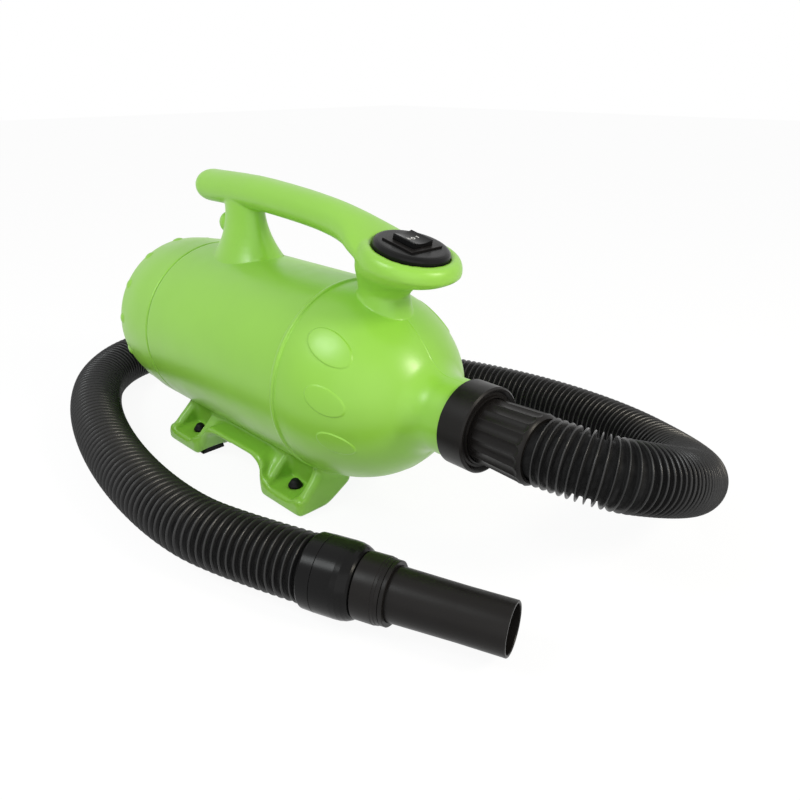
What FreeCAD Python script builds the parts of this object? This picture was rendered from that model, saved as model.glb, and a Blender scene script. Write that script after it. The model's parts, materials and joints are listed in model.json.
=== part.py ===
import FreeCAD, Part
import math
import os

# Pet dryer: a lying blower barrel with a carry handle, a ribbed stretch hose and a nozzle handset.
# Millimetres. +X runs along the barrel towards the air outlet, +Z is up, and +Y is the far side.
# The origin is the centre of the four feet's stance, on the floor.

V = FreeCAD.Vector
UP = V(0, 0, 1)
ALONG = V(1, 0, 0)
ACROSS = V(0, 1, 0)

# General fits
slip = 0.3                    # gap between curved faces that turn or slide on each other
seat = 0.1                    # gap between a pressed piece and its seat
wall = 3.0                    # blow-moulded housing wall
shaft_gap = 0.05              # running clearance of the rotor shaft

# Barrel and dome
axis_height = 103.0           # barrel axis above the floor
barrel_radius = 80.0
barrel_rear_x = -99.0         # seam to the rear cover
barrel_front_x = 97.0         # seam ring where the dome starts
seam_lip = 0.8                # height of the rounded lip and depth of the groove at the seam
seam_lip_width = 5.0
seam_rounding = 1.5
dome_shoulder_radius = 112.0  # the dome is two arcs, then a hollow flare to the neck
dome_shoulder_turn = 26.0     # degrees
dome_nose_radius = 90.0
dome_nose_turn = 28.7
oval_rise = 0.7               # three raised ovals on each side of the dome
dome_ovals = [(133.5, 41.6, 19.7, 11.2, 14.6),    # place along X, degrees above the side, half sizes,
              (142.1, 11.2, 15.7, 9.4, 18.7),     # and degrees nose down
              (147.9, -17.0, 14.0, 7.9, 34.1)]
neck_radius = 28.9
neck_end_x = 228.0

# Carry handle
grip_tip_x = -104.0
grip_half_width = 16.5
grip_half_height = 14.0
grip_rear_z = 236.5
grip_wall = 3.2
rear_post_x = -42.0
rear_post_root = 164.0
rear_post_top = 233.0
post_straight_z = 224.0       # above this the rear post has an even section
post_half_length = 21.5
post_half_width = 14.4
post_flare_length = 34.0
post_flare_width = 24.0
front_post_x = 138.0
head_x = 161.0
head_top_z = 216.5
head_tilt = 12.0              # degrees, nose down
head_half_length = 39.7
head_half_width = 36.2
head_rim_drop = 10.0          # height of the rounded rim
head_rim_shrink = 5.6         # how far the rounding pulls the top edge in

# Feet and skirts
foot_spacing = 151.0          # centre to centre along X
foot_length = 52.0
stance_half_width = 68.0
foot_inner_y = 39.0
sole_lift = 0.8               # the moulded foot stays clear of the floor by this
rib_width = 10.0              # rib at each end of a foot
pocket_floor_z = 12.5
pocket_inner_y = 41.0
arch_height = 29.0
toe_height = 16.5
shelf_y = 64.0                # outer edge of the shelf over the arch
shelf_thickness = 4.5
pad_height = 9.5
pad_length = 46.0
bulb_radius = 6.0
bulb_y = 50.0
boss_radius = 10.0            # round boss behind the rear post
boss_reach = 25.0
boss_z = 206.0

# Rear cover
cover_length = 82.0
cover_band = 19.5
cover_wall = 3.0
cover_step = 0.9              # faint step in front of the rounded part
cover_side_radius = 196.0     # the rounded part is three arcs: side, corner and end
cover_corner_radius = 20.0
cover_end_radius = 150.0
cover_slots = 14
cover_slot_width = 7.0
cover_slot_inner = 30.0
cover_slot_outer = 55.0
nub_radius = 9.0
nub_back = 54.4               # grip nubs behind the seam
nub_centre_radius = 68.5
nub_start_angle = 82.5
spigot_root = 6.7             # thick rim inside the cover that carries its spigot
spigot_inner_radius = 74.2
spigot_end_x = -90.3
hook_rear_x = -89.5           # three hooks in the barrel hold the cover's bayonet fingers
hook_thickness = 2.5
hook_inner_radius = 74.8
hook_width = 12.0             # degrees
finger_width = 10.0
filter_thickness = 9.0

# Cord gland
gland_x = -80.0
gland_angle = 0.0             # degrees above the far side
gland_spot_depth = 0.8
gland_flange_radius = 9.0
gland_body_radius = 6.0
gland_bore_radius = 4.0

# Switch
bezel_half_length = 29.5
bezel_half_width = 26.0
bezel_height = 4.6
bezel_seat_depth = 4.0
rocker_length = 20.5          # along the handle
rocker_width = 18.5
rocker_rise = 3.4             # rocker's top edges over the switch flange
rocker_dish = 1.0
rocker_pivot_height = 4.6     # heights are over the top of the switch head
rocker_swing_radius = 9.0
rocker_gap = 0.6              # beside the rocker in its well
terminal_length = 6.0
trunnion_radius = 1.5
well_floor = -6.5
flange_height = 1.2
switch_flange_length = 29.5
switch_flange_width = 30.0
switch_box_length = 24.0
switch_box_width = 22.0
switch_box_depth = 14.0

# Outlet and hose cuff
ring_length = 22.0
ring_radius = 31.3
ring_rear_x = 216.0
seal_thickness = 2.0
cuff_length = 42.0
cuff_radius = 23.0
cuff_flare = 2.2
cuff_bore = 19.5
cuff_flutes = 20
spigot_radius = 22.8
cuff_spigot = 28.0            # cuff's spigot behind the neck's end
rim_radius = 24.9             # snap rim on the spigot

# Hose
hose_crest_radius = 24.0
hose_root_radius = 20.4
hose_bore = 18.0
hose_ribs = 80
hose_socket = 40.0            # hose end inside the outlet cuff
hose_handset_gap = 4.4        # hose end behind the handset's origin
hose_points = [(317, 0, 103), (347, 50, 86.5), (340, 119, 55.5), (294, 181, 33), (220, 216, 26),
               (125, 220, 24.6), (30, 197, 24.6), (-66, 158, 24.6), (-160, 127, 24.6), (-239, 100, 24.6),
               (-283, 46, 24.6), (-280, -20, 24.6), (-240, -72, 24.6), (-180, -107, 24.6),
               (-105, -133, 24.6), (-20, -150, 24.6), (60, -155, 25), (122, -147.6, 26.2)]

# Handset, measured along its own axis from the collar's outer seam
handset_x = 204.8
handset_y = -116.75
handset_heading = 20.46       # degrees, from +X towards +Y
collar_radius = 26.2
collar_back = 14.4
collar_front = 10.6
handset_seam = 3.8            # fine seam round the collar, behind the origin
swivel_end = 22.6
nose_length = 12.0            # rounded front of the swivel cuff
adapter_radius = 20.4
sleeve_radius = 22.4
tube_step = 45.5              # where the tube leaves the sleeve
tube_length = 77.5
tube_root_radius = 18.2
tube_tip_radius = 17.4
tube_straight = 32.0          # parallel end that a nozzle pushes onto
tube_wall = 2.0
tube_engagement = 26.0
relief_x = 33.0
relief_slot_length = 15.0
relief_slot_width = 8.0

# Blower inside the barrel
bulkhead_x = -66.0            # front face of the rear bulkhead
bulkhead_thickness = 4.0
ledge_radius = 70.0
ledge_thickness = 4.0
screw_circle = 73.3
eye_radius = 26.0
shell_radius = 62.0
shell_wall = 1.2
shell_rear_x = -60.0
shell_front_x = -12.0
impeller_radius = 56.0
impeller_blades = 8
blade_thickness = 1.2
blade_height = 8.0
impeller_rear_x = -56.0
impeller_front_x = -34.0
diffuser_x = -43.0
shaft_rear_x = -61.0
shaft_front_x = 77.0
shaft_radius = 4.0
bearing_radius = 11.0
bearing_width = 7.0
stack_start_x = 6.0
stack_length = 40.0
stack_radius = 42.0
stator_bore = 25.0
armature_radius = 24.5
stack_flat = 38.0
motor_screw_offset = 38.5
commutator_x = 54.0
commutator_length = 12.0
commutator_radius = 13.0
brush_half = 4.0
brush_length = 10.0
front_bearing_x = 70.0
spider_x = 73.3
spider_thickness = 6.0
foam_thickness = 6.0

# Values worked out from the above
dome_start_radius = barrel_radius-seam_lip
spigot_x = ring_rear_x+ring_length
cuff_start_x = spigot_x+0.6
cuff_end_x = cuff_start_x+cuff_length
lip_back_x = neck_end_x+seal_thickness
rim_x = lip_back_x-0.6
cover_seam_x = barrel_rear_x-slip
hose_start_x = cuff_end_x-hose_socket
foot_x = foot_spacing/2
stance_half_length = foot_x+foot_length/2
cavity_radius = barrel_radius-wall
handset_axis = V(math.cos(math.radians(handset_heading)), math.sin(math.radians(handset_heading)), 0)
handset_origin = V(handset_x, handset_y, collar_radius)
head_normal = V(math.sin(math.radians(head_tilt)), 0, math.cos(math.radians(head_tilt)))
head_along = V(math.cos(math.radians(head_tilt)), 0, -math.sin(math.radians(head_tilt)))
head_centre = V(head_x, 0, head_top_z)

parts = {}


# Small helpers

def revolve_x(outline):
    """Turns a closed outline of (x, radius) corners round the barrel axis."""
    points = [V(x, 0, axis_height+r) for x, r in outline]
    face = Part.Face(Part.makePolygon(points+[points[0]]))
    return face.revolve(V(0, 0, axis_height), ALONG, 360)


def tube_x(x0, x1, outer, inner=0.0):
    """A round bar or ring along the barrel axis."""
    bar = Part.makeCylinder(outer, x1-x0, V(x0, 0, axis_height), ALONG)
    if inner > 0:
        bar = bar.cut(Part.makeCylinder(inner, x1-x0, V(x0, 0, axis_height), ALONG))
    return bar


def fuse_all(shapes):
    """One solid from touching or overlapping shapes."""
    first = shapes[0]
    for other in shapes[1:]:
        first = first.fuse(other)
    return first.removeSplitter()


def about_axis(shape, degrees):
    """A copy turned round the barrel axis."""
    copy = shape.copy()
    copy.rotate(V(0, 0, axis_height), ALONG, degrees)
    return copy


def pattern_x(shape, count, start=0.0):
    """Evenly spaced copies round the barrel axis."""
    return [about_axis(shape, start+360.0*i/count) for i in range(count)]


def mirrored(shape):
    """The shape's twin on the other side of the mid-plane."""
    return shape.mirror(V(0, 0, 0), ACROSS)


def oval_wire(centre, along, across, half_along, half_across):
    """A closed oval; its longer half must be the one along."""
    oval = Part.Ellipse(centre+along*half_along, centre+across*half_across, centre)
    return Part.Wire([oval.toShape()])


def smooth_rows(rows, between):
    """Adds rows between the given ones; each column follows a smooth curve over the first."""
    last = len(rows)-1
    slopes = []
    for i in range(len(rows)):
        before, after = rows[max(i-1, 0)], rows[min(i+1, last)]
        slopes.append([(q-p)/(after[0]-before[0]) for p, q in zip(before, after)])
    result = []
    for i in range(last):
        start, end = rows[i], rows[i+1]
        span = end[0]-start[0]
        for k in range(between+1):
            t = k/(between+1.0)
            from_start, from_end = 2*t**3-3*t**2+1, 3*t**2-2*t**3
            lead_in, lead_out = (t**3-2*t**2+t)*span, (t**3-t**2)*span
            columns = zip(start, slopes[i], end, slopes[i+1])
            result.append([from_start*p+lead_in*m+from_end*q+lead_out*n for p, m, q, n in columns])
    result.append(list(rows[last]))
    return result


def box(x0, x1, y0, y1, z0, z1):
    return Part.makeBox(x1-x0, y1-y0, z1-z0, V(x0, y0, z0))


def rounded_prism(points, radii, direction):
    """Extrudes a closed outline whose corners are rounded by the given radii."""
    count = len(points)
    edges = []
    starts = []
    ends = []
    mids = []
    for i in range(count):
        before, here, after = points[i-1], points[i], points[(i+1) % count]
        u = (before-here).normalize()
        w = (after-here).normalize()
        half = u.getAngle(w)/2
        reach = radii[i]/math.tan(half)
        bisector = (u+w).normalize()
        starts.append(here+u*reach)
        ends.append(here+w*reach)
        mids.append(here+bisector*(radii[i]/math.sin(half)-radii[i]))
    for i in range(count):
        if radii[i] > 0:
            edges.append(Part.Arc(starts[i], mids[i], ends[i]).toShape())
        following = starts[(i+1) % count]
        if (following-ends[i]).Length > 1e-6:
            edges.append(Part.LineSegment(ends[i], following).toShape())
    return Part.Face(Part.Wire(edges)).extrude(direction)


# Housing

def arc_run(point, heading, turns):
    """Arcs that follow on from each other: (radius, degrees), turned down or, if negative, up."""
    edges = []
    for radius, turn in turns:
        side = 1 if turn < 0 else -1
        across_path = V(-math.sin(math.radians(heading)), 0, math.cos(math.radians(heading)))*side
        centre = point+across_path*radius
        stops = []
        for share in (0.5, 1.0):
            reach = (point-centre)
            angle = math.radians(turn*share)
            x = reach.x*math.cos(angle)+reach.z*math.sin(angle)
            z = -reach.x*math.sin(angle)+reach.z*math.cos(angle)
            stops.append(centre+V(x, 0, z))
        edges.append(Part.Arc(point, stops[0], stops[1]).toShape())
        point = stops[1]
        heading -= turn
    return edges, point


def barrel_outline(inset):
    """Outline of the barrel, dome and neck; with an inset, that of the hollow inside them."""
    grow = 1.0 if inset else 0.0
    radius = barrel_radius-inset
    start = V(barrel_rear_x-grow, 0, axis_height+radius)
    dome_start = V(barrel_front_x+1.0, 0, axis_height+dome_start_radius-inset)
    lip_rear = V(barrel_front_x-seam_lip_width, 0, axis_height+radius)
    first = start
    edges = []
    if not inset:
        first = start-UP*seam_rounding
        edges, start = arc_run(first, 90, [(seam_rounding, 90)])
    edges.append(Part.LineSegment(start, lip_rear).toShape())
    lip_end = lip_rear
    if not inset:
        lip_top = V(barrel_front_x-seam_lip_width/2, 0, axis_height+radius+seam_lip)
        lip_end = V(barrel_front_x, 0, axis_height+radius-seam_lip)
        edges.append(Part.Arc(lip_rear, lip_top, lip_end).toShape())
    edges.append(Part.LineSegment(lip_end, dome_start).toShape())
    dome_turn = dome_shoulder_turn+dome_nose_turn
    arcs = [(dome_shoulder_radius-inset, dome_shoulder_turn), (dome_nose_radius-inset, dome_nose_turn)]
    dome, dome_end = arc_run(dome_start, 0, arcs)
    drop = dome_end.z-(axis_height+neck_radius-inset)
    flare, neck_start = arc_run(dome_end, -dome_turn, [(drop/(1-math.cos(math.radians(dome_turn))), -dome_turn)])
    neck_end = V(neck_end_x+grow, 0, neck_start.z)
    corners = [neck_start, neck_end, V(neck_end.x, 0, axis_height), V(first.x, 0, axis_height), first]
    edges += dome+flare
    for a, b in zip(corners, corners[1:]):
        edges.append(Part.LineSegment(a, b).toShape())
    return Part.Face(Part.Wire(edges))


def barrel_form(inset):
    return barrel_outline(inset).revolve(V(0, 0, axis_height), ALONG, 360)


def grip_form(inset):
    """The bar of the handle: a rounded tip, a slight arc and a widening towards the head."""
    ovals = []
    for angle in (12, 30, 50, 70):
        reach, swell = math.cos(math.radians(angle)), math.sin(math.radians(angle))
        x = grip_tip_x+grip_half_height*(1-reach)
        ovals.append((x, grip_rear_z, grip_half_width*swell, grip_half_height*swell))
    rows = [(grip_tip_x+grip_half_height, grip_rear_z, grip_half_width, grip_half_height),
            (-20, grip_rear_z, grip_half_width, grip_half_height), (36, 233.2, 16.2, 13.6),
            (67, 230.2, 16.0, 13.4), (88, 227.0, 17.0, 13.4), (108, 222.4, 21.5, 12.6),
            (124, 217.4, 28.0, 10.6)]
    if not inset:
        rows.append((142, 211.0, 33.0, 8.6))
    ovals += smooth_rows(rows, 2)
    wires = []
    for x, z, half_width, half_height in ovals[1 if inset else 0:]:
        wires.append(oval_wire(V(x, 0, z), ACROSS, UP, half_width-inset, half_height-inset))
    return Part.makeLoft(wires, True, True)


def rear_post_form(inset):
    """Rear post: an oval column that flares widely into the barrel."""
    top = rear_post_top-(1.5*inset if inset else 0.0)
    wires = []
    steps = 12
    for i in range(steps+1):
        z = rear_post_root+(top-rear_post_root)*i/steps
        flare = max(0.0, (post_straight_z-z)/(post_straight_z-rear_post_root))**2.1
        half_length = post_half_length+post_flare_length*flare-inset
        half_width = post_half_width+post_flare_width*flare-inset
        wires.append(oval_wire(V(rear_post_x, 0, z), ALONG, ACROSS, half_length, half_width))
    return Part.makeLoft(wires, True, True)


def front_post_form(inset):
    """Front post and switch head in one flowing form, from inside the barrel to the bezel seat."""
    x = front_post_x
    rows = [(160, x, 0, 26.5, 23.5), (170, x, 0, 25.0, 21.8), (180, x, 0, 24.2, 20.8),
            (188, x+1, 1, 25.4, 21.8), (195, x+7, 5, 30.5, 26.8), (200, head_x-8.5, 9, 36.3, 32.8)]
    if not inset:
        rim = head_centre-head_normal*head_rim_drop
        rows.append((rim.z, rim.x, head_tilt, head_half_length, head_half_width))
    sections = smooth_rows(rows, 1)
    if not inset:
        for angle in (30, 60, 90):
            drop = head_rim_drop*(1-math.sin(math.radians(angle)))
            shrink = head_rim_shrink*(1-math.cos(math.radians(angle)))
            centre = head_centre-head_normal*drop
            sections.append((centre.z, centre.x, head_tilt, head_half_length-shrink, head_half_width-shrink))
    wires = []
    for z, x, tilt, half_length, half_width in sections:
        along = V(math.cos(math.radians(tilt)), 0, -math.sin(math.radians(tilt)))
        wires.append(oval_wire(V(x, 0, z), along, ACROSS, half_length-inset, half_width-inset))
    return Part.makeLoft(wires, True, True)


def side_base_form():
    """Feet, arch and shelf of the near side, before the pads and pockets are cut."""
    rear, front = -stance_half_length, stance_half_length
    inner_rear, inner_front = -foot_x+foot_length/2, foot_x-foot_length/2
    w = stance_half_width
    y = -w-2
    depth = V(0, w+4, 0)
    arch = [V(rear, y, sole_lift), V(inner_rear, y, sole_lift), V(inner_rear+14, y, arch_height),
            V(inner_front-4, y, arch_height), V(inner_front, y, sole_lift), V(front, y, sole_lift)]
    arch_rounding = [3, 3, 20, 18, 3, 3]
    side_view = rounded_prism(arch+[V(front, y, 62), V(rear, y, 62)], arch_rounding+[2, 2], depth)
    section = [(-w+4, sole_lift), (-w+4, toe_height-2.5), (-55, 24.5), (-43, 36), (-30, 60),
               (-13, 40), (-13, 15), (-foot_inner_y, sole_lift)]
    section_rounding = [2, 5, 9, 5, 3, 3, 4, 2]
    slope = rounded_prism([V(rear, a, b) for a, b in section], section_rounding, V(front-rear, 0, 0))
    shelf_top = arch_height+shelf_thickness
    lip = arch+[V(front, y, toe_height), V(inner_front+3, y, toe_height), V(inner_front-3, y, shelf_top),
                V(inner_rear+13, y, shelf_top), V(inner_rear-3, y, toe_height), V(rear, y, toe_height)]
    lip = rounded_prism(lip, arch_rounding+[5, 8, 14, 14, 8, 5], depth)
    lip = lip.common(box(rear, front, -w, -42, 0, shelf_top+5))
    shelf_cut = box(inner_rear, inner_front, -w-3, -shelf_y, -1, 70)
    fillet_edges = [e for e in shelf_cut.Edges if abs(e.tangentAt(e.FirstParameter).z) > 0.9
                    and e.BoundBox.YMax > -shelf_y-0.1]
    return side_view.common(slope).fuse(lip).cut(shelf_cut.makeFillet(3.5, fillet_edges))


def pocket_form(x):
    """Open pocket between the ribs of a near-side foot."""
    half = foot_length/2-rib_width
    w = stance_half_width
    outline = [V(x-half, -w-3, 70), V(x-half, -w-3, pocket_floor_z),
               V(x+half, -w-3, pocket_floor_z), V(x+half, -w-3, 70)]
    return rounded_prism(outline, [1, 4, 4, 1], V(0, w+3-pocket_inner_y, 0))


def pad_prism(x, arch_side, gap):
    """A rubber pad, or with a gap the recess for it: flush with the foot's arch side."""
    outer, inner = stance_half_width-4, foot_inner_y+2
    flush = x+arch_side*(foot_length/2+(1.0 if gap else 0.0))
    closed = x+arch_side*(foot_length/2-pad_length-gap)
    x0 = min(flush, closed)
    drop = 1.0 if gap else 0.0
    section = [(-outer-gap, -drop), (-outer-gap, 0), (-outer+8.5-gap, pad_height+gap),
               (-inner-2+gap, pad_height+gap), (-inner+gap, 0), (-inner+gap, -drop)]
    if not gap:
        section = [section[0], section[2], section[3], section[4]]
    points = [V(x0, y, z) for y, z in section]
    return Part.Face(Part.makePolygon(points+[points[0]])).extrude(V(abs(flush-closed), 0, 0))


def foot_pad(x, arch_side):
    """Rubber pad with the stem and bulb that snap through the pocket floor."""
    pad = pad_prism(x, arch_side, 0.0)
    stem_radius = bulb_radius-2.0
    stem = Part.makeCylinder(stem_radius, pocket_floor_z-pad_height+1.0, V(x, -bulb_y, pad_height-0.5))
    base = pocket_floor_z+slip
    bulb = Part.makeSphere(bulb_radius, V(x, -bulb_y, base), UP, -0.0, 90, 360)
    return fuse_all([pad, stem, bulb])


def dome_oval(x, angle, half_length, half_width, turn):
    """Prism over a raised oval on the dome's near side, turned nose down."""
    out = V(0, -math.cos(math.radians(angle)), math.sin(math.radians(angle)))
    up_side = V(0, math.sin(math.radians(angle)), math.cos(math.radians(angle)))
    lean, rest = math.sin(math.radians(turn)), math.cos(math.radians(turn))
    oval = oval_wire(V(x, 0, axis_height), ALONG*rest-up_side*lean, up_side*rest+ALONG*lean, half_length, half_width)
    return Part.Face(oval).extrude(out*(barrel_radius+10))


def bezel_recess():
    """Cutter for the bezel's seat and the switch body's hole in the switch head."""
    floor = head_centre-head_normal*bezel_seat_depth
    seat_oval = oval_wire(floor, head_along, ACROSS, bezel_half_length+seat, bezel_half_width+seat)
    recess = Part.Face(seat_oval).extrude(head_normal*(bezel_seat_depth+5))
    hole = tilted_box(switch_box_length+2*slip, switch_box_width+2*slip, -switch_box_depth-terminal_length-2, 0)
    return recess.fuse(hole)


def housing():
    """Blow-moulded shell: barrel, dome, neck, handle, switch head, skirts and feet."""
    shell = barrel_form(0)
    for form in (grip_form(0), rear_post_form(0), front_post_form(0)):
        shell = shell.fuse(form)
    near = side_base_form()
    for x in (-foot_x, foot_x):
        near = near.cut(pocket_form(x))
    boss = Part.makeSphere(boss_radius, V(rear_post_x-boss_reach, 0, boss_z))
    shell = shell.fuse(boss)
    raised = barrel_form(-oval_rise)
    for oval in dome_ovals:
        pad = dome_oval(*oval).common(raised)
        shell = shell.fuse(pad).fuse(mirrored(pad))
    shell = shell.fuse(near).fuse(mirrored(near))
    shell = shell.cut(barrel_form(wall))
    for form in (grip_form(grip_wall), rear_post_form(grip_wall), front_post_form(grip_wall)):
        shell = shell.cut(form)
    shell = shell.cut(bezel_recess())
    for x, arch_side in ((-foot_x, 1), (foot_x, -1)):
        hole = Part.makeCylinder(bulb_radius-2.0+seat, 6.0, V(x, -bulb_y, pad_height-1))
        for cutter in (pad_prism(x, arch_side, seat), hole):
            shell = shell.cut(cutter).cut(mirrored(cutter))
    ledge = tube_x(bulkhead_x, bulkhead_x+ledge_thickness, cavity_radius+0.5, ledge_radius)
    shell = shell.fuse(ledge)
    for hole in pattern_x(tube_off_axis(bulkhead_x, bulkhead_x+ledge_thickness, screw_circle, 1.9), 4, 45):
        shell = shell.cut(hole)
    for hook in pattern_x(ring_part(hook_rear_x, hook_rear_x+hook_thickness, cavity_radius+0.5,
                                    hook_inner_radius, hook_width), 3, 90):
        shell = shell.fuse(hook)
    cover_room = tube_x(cover_seam_x-20, barrel_rear_x, barrel_radius+slip)
    return shell.cut(gland_bore()).cut(cover_room)


def tilted_box(length, width, low, high):
    """A box square to the switch head, centred on it, between two heights over its top."""
    corners = []
    for u, v in ((-1, -1), (1, -1), (1, 1), (-1, 1)):
        corners.append(head_centre+head_normal*low+head_along*(u*length/2)+ACROSS*(v*width/2))
    return Part.Face(Part.makePolygon(corners+[corners[0]])).extrude(head_normal*(high-low))


def tube_off_axis(x0, x1, offset, radius):
    """A bar parallel to the barrel axis, offset straight up from it."""
    return Part.makeCylinder(radius, x1-x0, V(x0, 0, axis_height+offset), ALONG)


def ring_part(x0, x1, outer, inner, degrees):
    """A sector of a ring round the barrel axis, centred straight up."""
    corners = [(x0, inner), (x1, inner), (x1, outer), (x0, outer)]
    points = [V(x, 0, axis_height+r) for x, r in corners]
    face = Part.Face(Part.makePolygon(points+[points[0]]))
    sector = face.revolve(V(0, 0, axis_height), ALONG, degrees)
    return about_axis(sector, -degrees/2.0)


# Cord gland

def gland_frame():
    """Outward direction and the centre of the gland's spot face on the barrel's far side."""
    out = V(0, math.cos(math.radians(gland_angle)), math.sin(math.radians(gland_angle)))
    return out, V(gland_x, 0, axis_height)+out*(barrel_radius-gland_spot_depth)


def gland_bore():
    out, face = gland_frame()
    spot = Part.makeCylinder(gland_flange_radius+seat, 10, face, out)
    bore = Part.makeCylinder(gland_body_radius+seat, 20, face-out*12, out)
    return spot.fuse(bore)


def cord_gland():
    """Moulded inlet bush: flange outside, body through the wall, snap rim inside, open bore."""
    out, face = gland_frame()
    flange = Part.makeCylinder(gland_flange_radius, 3.0, face, out)
    collar = Part.makeCone(gland_flange_radius-2.0, gland_body_radius-0.6, 7.0, face+out*3.0, out)
    body = Part.makeCylinder(gland_body_radius, wall+3.0, face-out*(wall+3.0), out)
    rim = Part.makeCone(gland_body_radius, gland_body_radius+1.0, 2.0, face-out*(wall+3.0), out)
    bore = Part.makeCylinder(gland_bore_radius, 40, face-out*20, out)
    return fuse_all([flange, collar, body, rim]).cut(bore)


# Rear cover

def cover_outline(inset):
    """Half outline of the rear cover, drawn forward from the seam and turned round later."""
    radius = barrel_radius-inset
    edges = []
    if inset:
        first = V(-1, 0, radius)
        band_start = first
    else:
        first = V(0, 0, radius-seam_rounding)
        edges, band_start = arc_run(first, 90, [(seam_rounding, 90)])
    band_end = V(cover_band, 0, radius)
    step = V(cover_band+0.6, 0, radius-cover_step)
    turned = [(cover_side_radius-inset, 11), (cover_corner_radius-inset, 64), (cover_end_radius-inset, 15)]
    round_end, tail = arc_run(step, 0, turned)
    edges.append(Part.LineSegment(band_start, band_end).toShape())
    edges.append(Part.LineSegment(band_end, step).toShape())
    edges += round_end
    for a, b in ((tail, V(tail.x, 0, 0)), (V(tail.x, 0, 0), V(first.x, 0, 0)), (V(first.x, 0, 0), first)):
        edges.append(Part.LineSegment(a, b).toShape())
    return Part.Face(Part.Wire(edges))


def cover_form(inset):
    solid = cover_outline(inset).revolve(V(0, 0, 0), ALONG, 360)
    solid = solid.mirror(V(0, 0, 0), ALONG)
    solid.translate(V(cover_seam_x, 0, axis_height))
    return solid


def intake_slot():
    """Radial slot through the cover's end, round at both ends."""
    half = cover_slot_width/2
    x0 = cover_seam_x-cover_length-5
    inner, outer = cover_slot_inner, cover_slot_outer
    low = V(x0, 0, axis_height+inner)
    high = V(x0, 0, axis_height+outer)
    middle = box(x0, x0+22, -half, half, axis_height+inner, axis_height+outer)
    ends = [Part.makeCylinder(half, 22, p, ALONG) for p in (low, high)]
    return fuse_all([middle]+ends)


def rear_cover():
    """Round-ended cap with intake slots, grip nubs, a locating spigot and bayonet fingers."""
    cap = cover_form(0).cut(cover_form(cover_wall))
    for slot in pattern_x(intake_slot(), cover_slots, nub_start_angle+180.0/cover_slots):
        cap = cap.cut(slot)
    nub = Part.makeSphere(nub_radius, V(cover_seam_x-nub_back, 0, axis_height+nub_centre_radius))
    nub = nub.cut(cover_form(cover_wall/2))
    for bump in pattern_x(nub, cover_slots, nub_start_angle):
        cap = cap.fuse(bump)
    root = tube_x(cover_seam_x-spigot_root, cover_seam_x, cavity_radius+0.5, spigot_inner_radius)
    spigot = tube_x(cover_seam_x, spigot_end_x, cavity_radius-slip, spigot_inner_radius)
    cap = cap.fuse(root).fuse(spigot)
    toe_x = hook_rear_x+hook_thickness+slip
    for finger in pattern_x(ring_part(spigot_end_x-1, toe_x+2.6, spigot_inner_radius, spigot_inner_radius-2.2,
                                      finger_width), 3, 90):
        cap = cap.fuse(finger)
    for toe in pattern_x(ring_part(toe_x, toe_x+2.6, cavity_radius-slip, spigot_inner_radius-2.2,
                                   finger_width), 3, 90):
        cap = cap.fuse(toe)
    base = tube_x(spigot_end_x-3, spigot_end_x, spigot_inner_radius+0.5, spigot_inner_radius-2.2)
    return cap.fuse(base).removeSplitter()


def filter_frame():
    """Clip-in ring with a hub and six spokes that holds the filter foam."""
    x1 = cover_seam_x-spigot_root-filter_thickness
    x0 = x1-3.0
    ring = tube_x(x0, x1, cavity_radius-slip, cavity_radius-6)
    hub = tube_x(x0, x1, 12, 8)
    spoke = box(x0, x1, -1.6, 1.6, axis_height+11, axis_height+cavity_radius-5)
    return fuse_all([ring, hub]+pattern_x(spoke, 6))


def intake_filter():
    x1 = cover_seam_x-spigot_root
    return tube_x(x1-filter_thickness, x1, cavity_radius-0.5)


# Outlet and hose cuff

def outlet_ring():
    """Ring pressed over the neck; its stepped lip guides the hose cuff."""
    front = spigot_x
    bore = spigot_radius+slip
    outline = [(ring_rear_x, neck_radius+seat), (ring_rear_x, ring_radius-0.8),
               (ring_rear_x+0.8, ring_radius), (front-1.2, ring_radius), (front, ring_radius-1.2),
               (front, ring_radius-2.2), (front-2.2, ring_radius-4.2), (front-2.2, bore+2.4),
               (front-0.6, bore+1.8), (front-0.6, bore+0.6), (front-1.2, bore),
               (lip_back_x, bore), (lip_back_x, neck_radius+seat)]
    return revolve_x(outline)


def outlet_seal():
    return tube_x(neck_end_x, neck_end_x+seal_thickness, neck_radius-0.2, neck_radius-wall+0.4)


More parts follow.
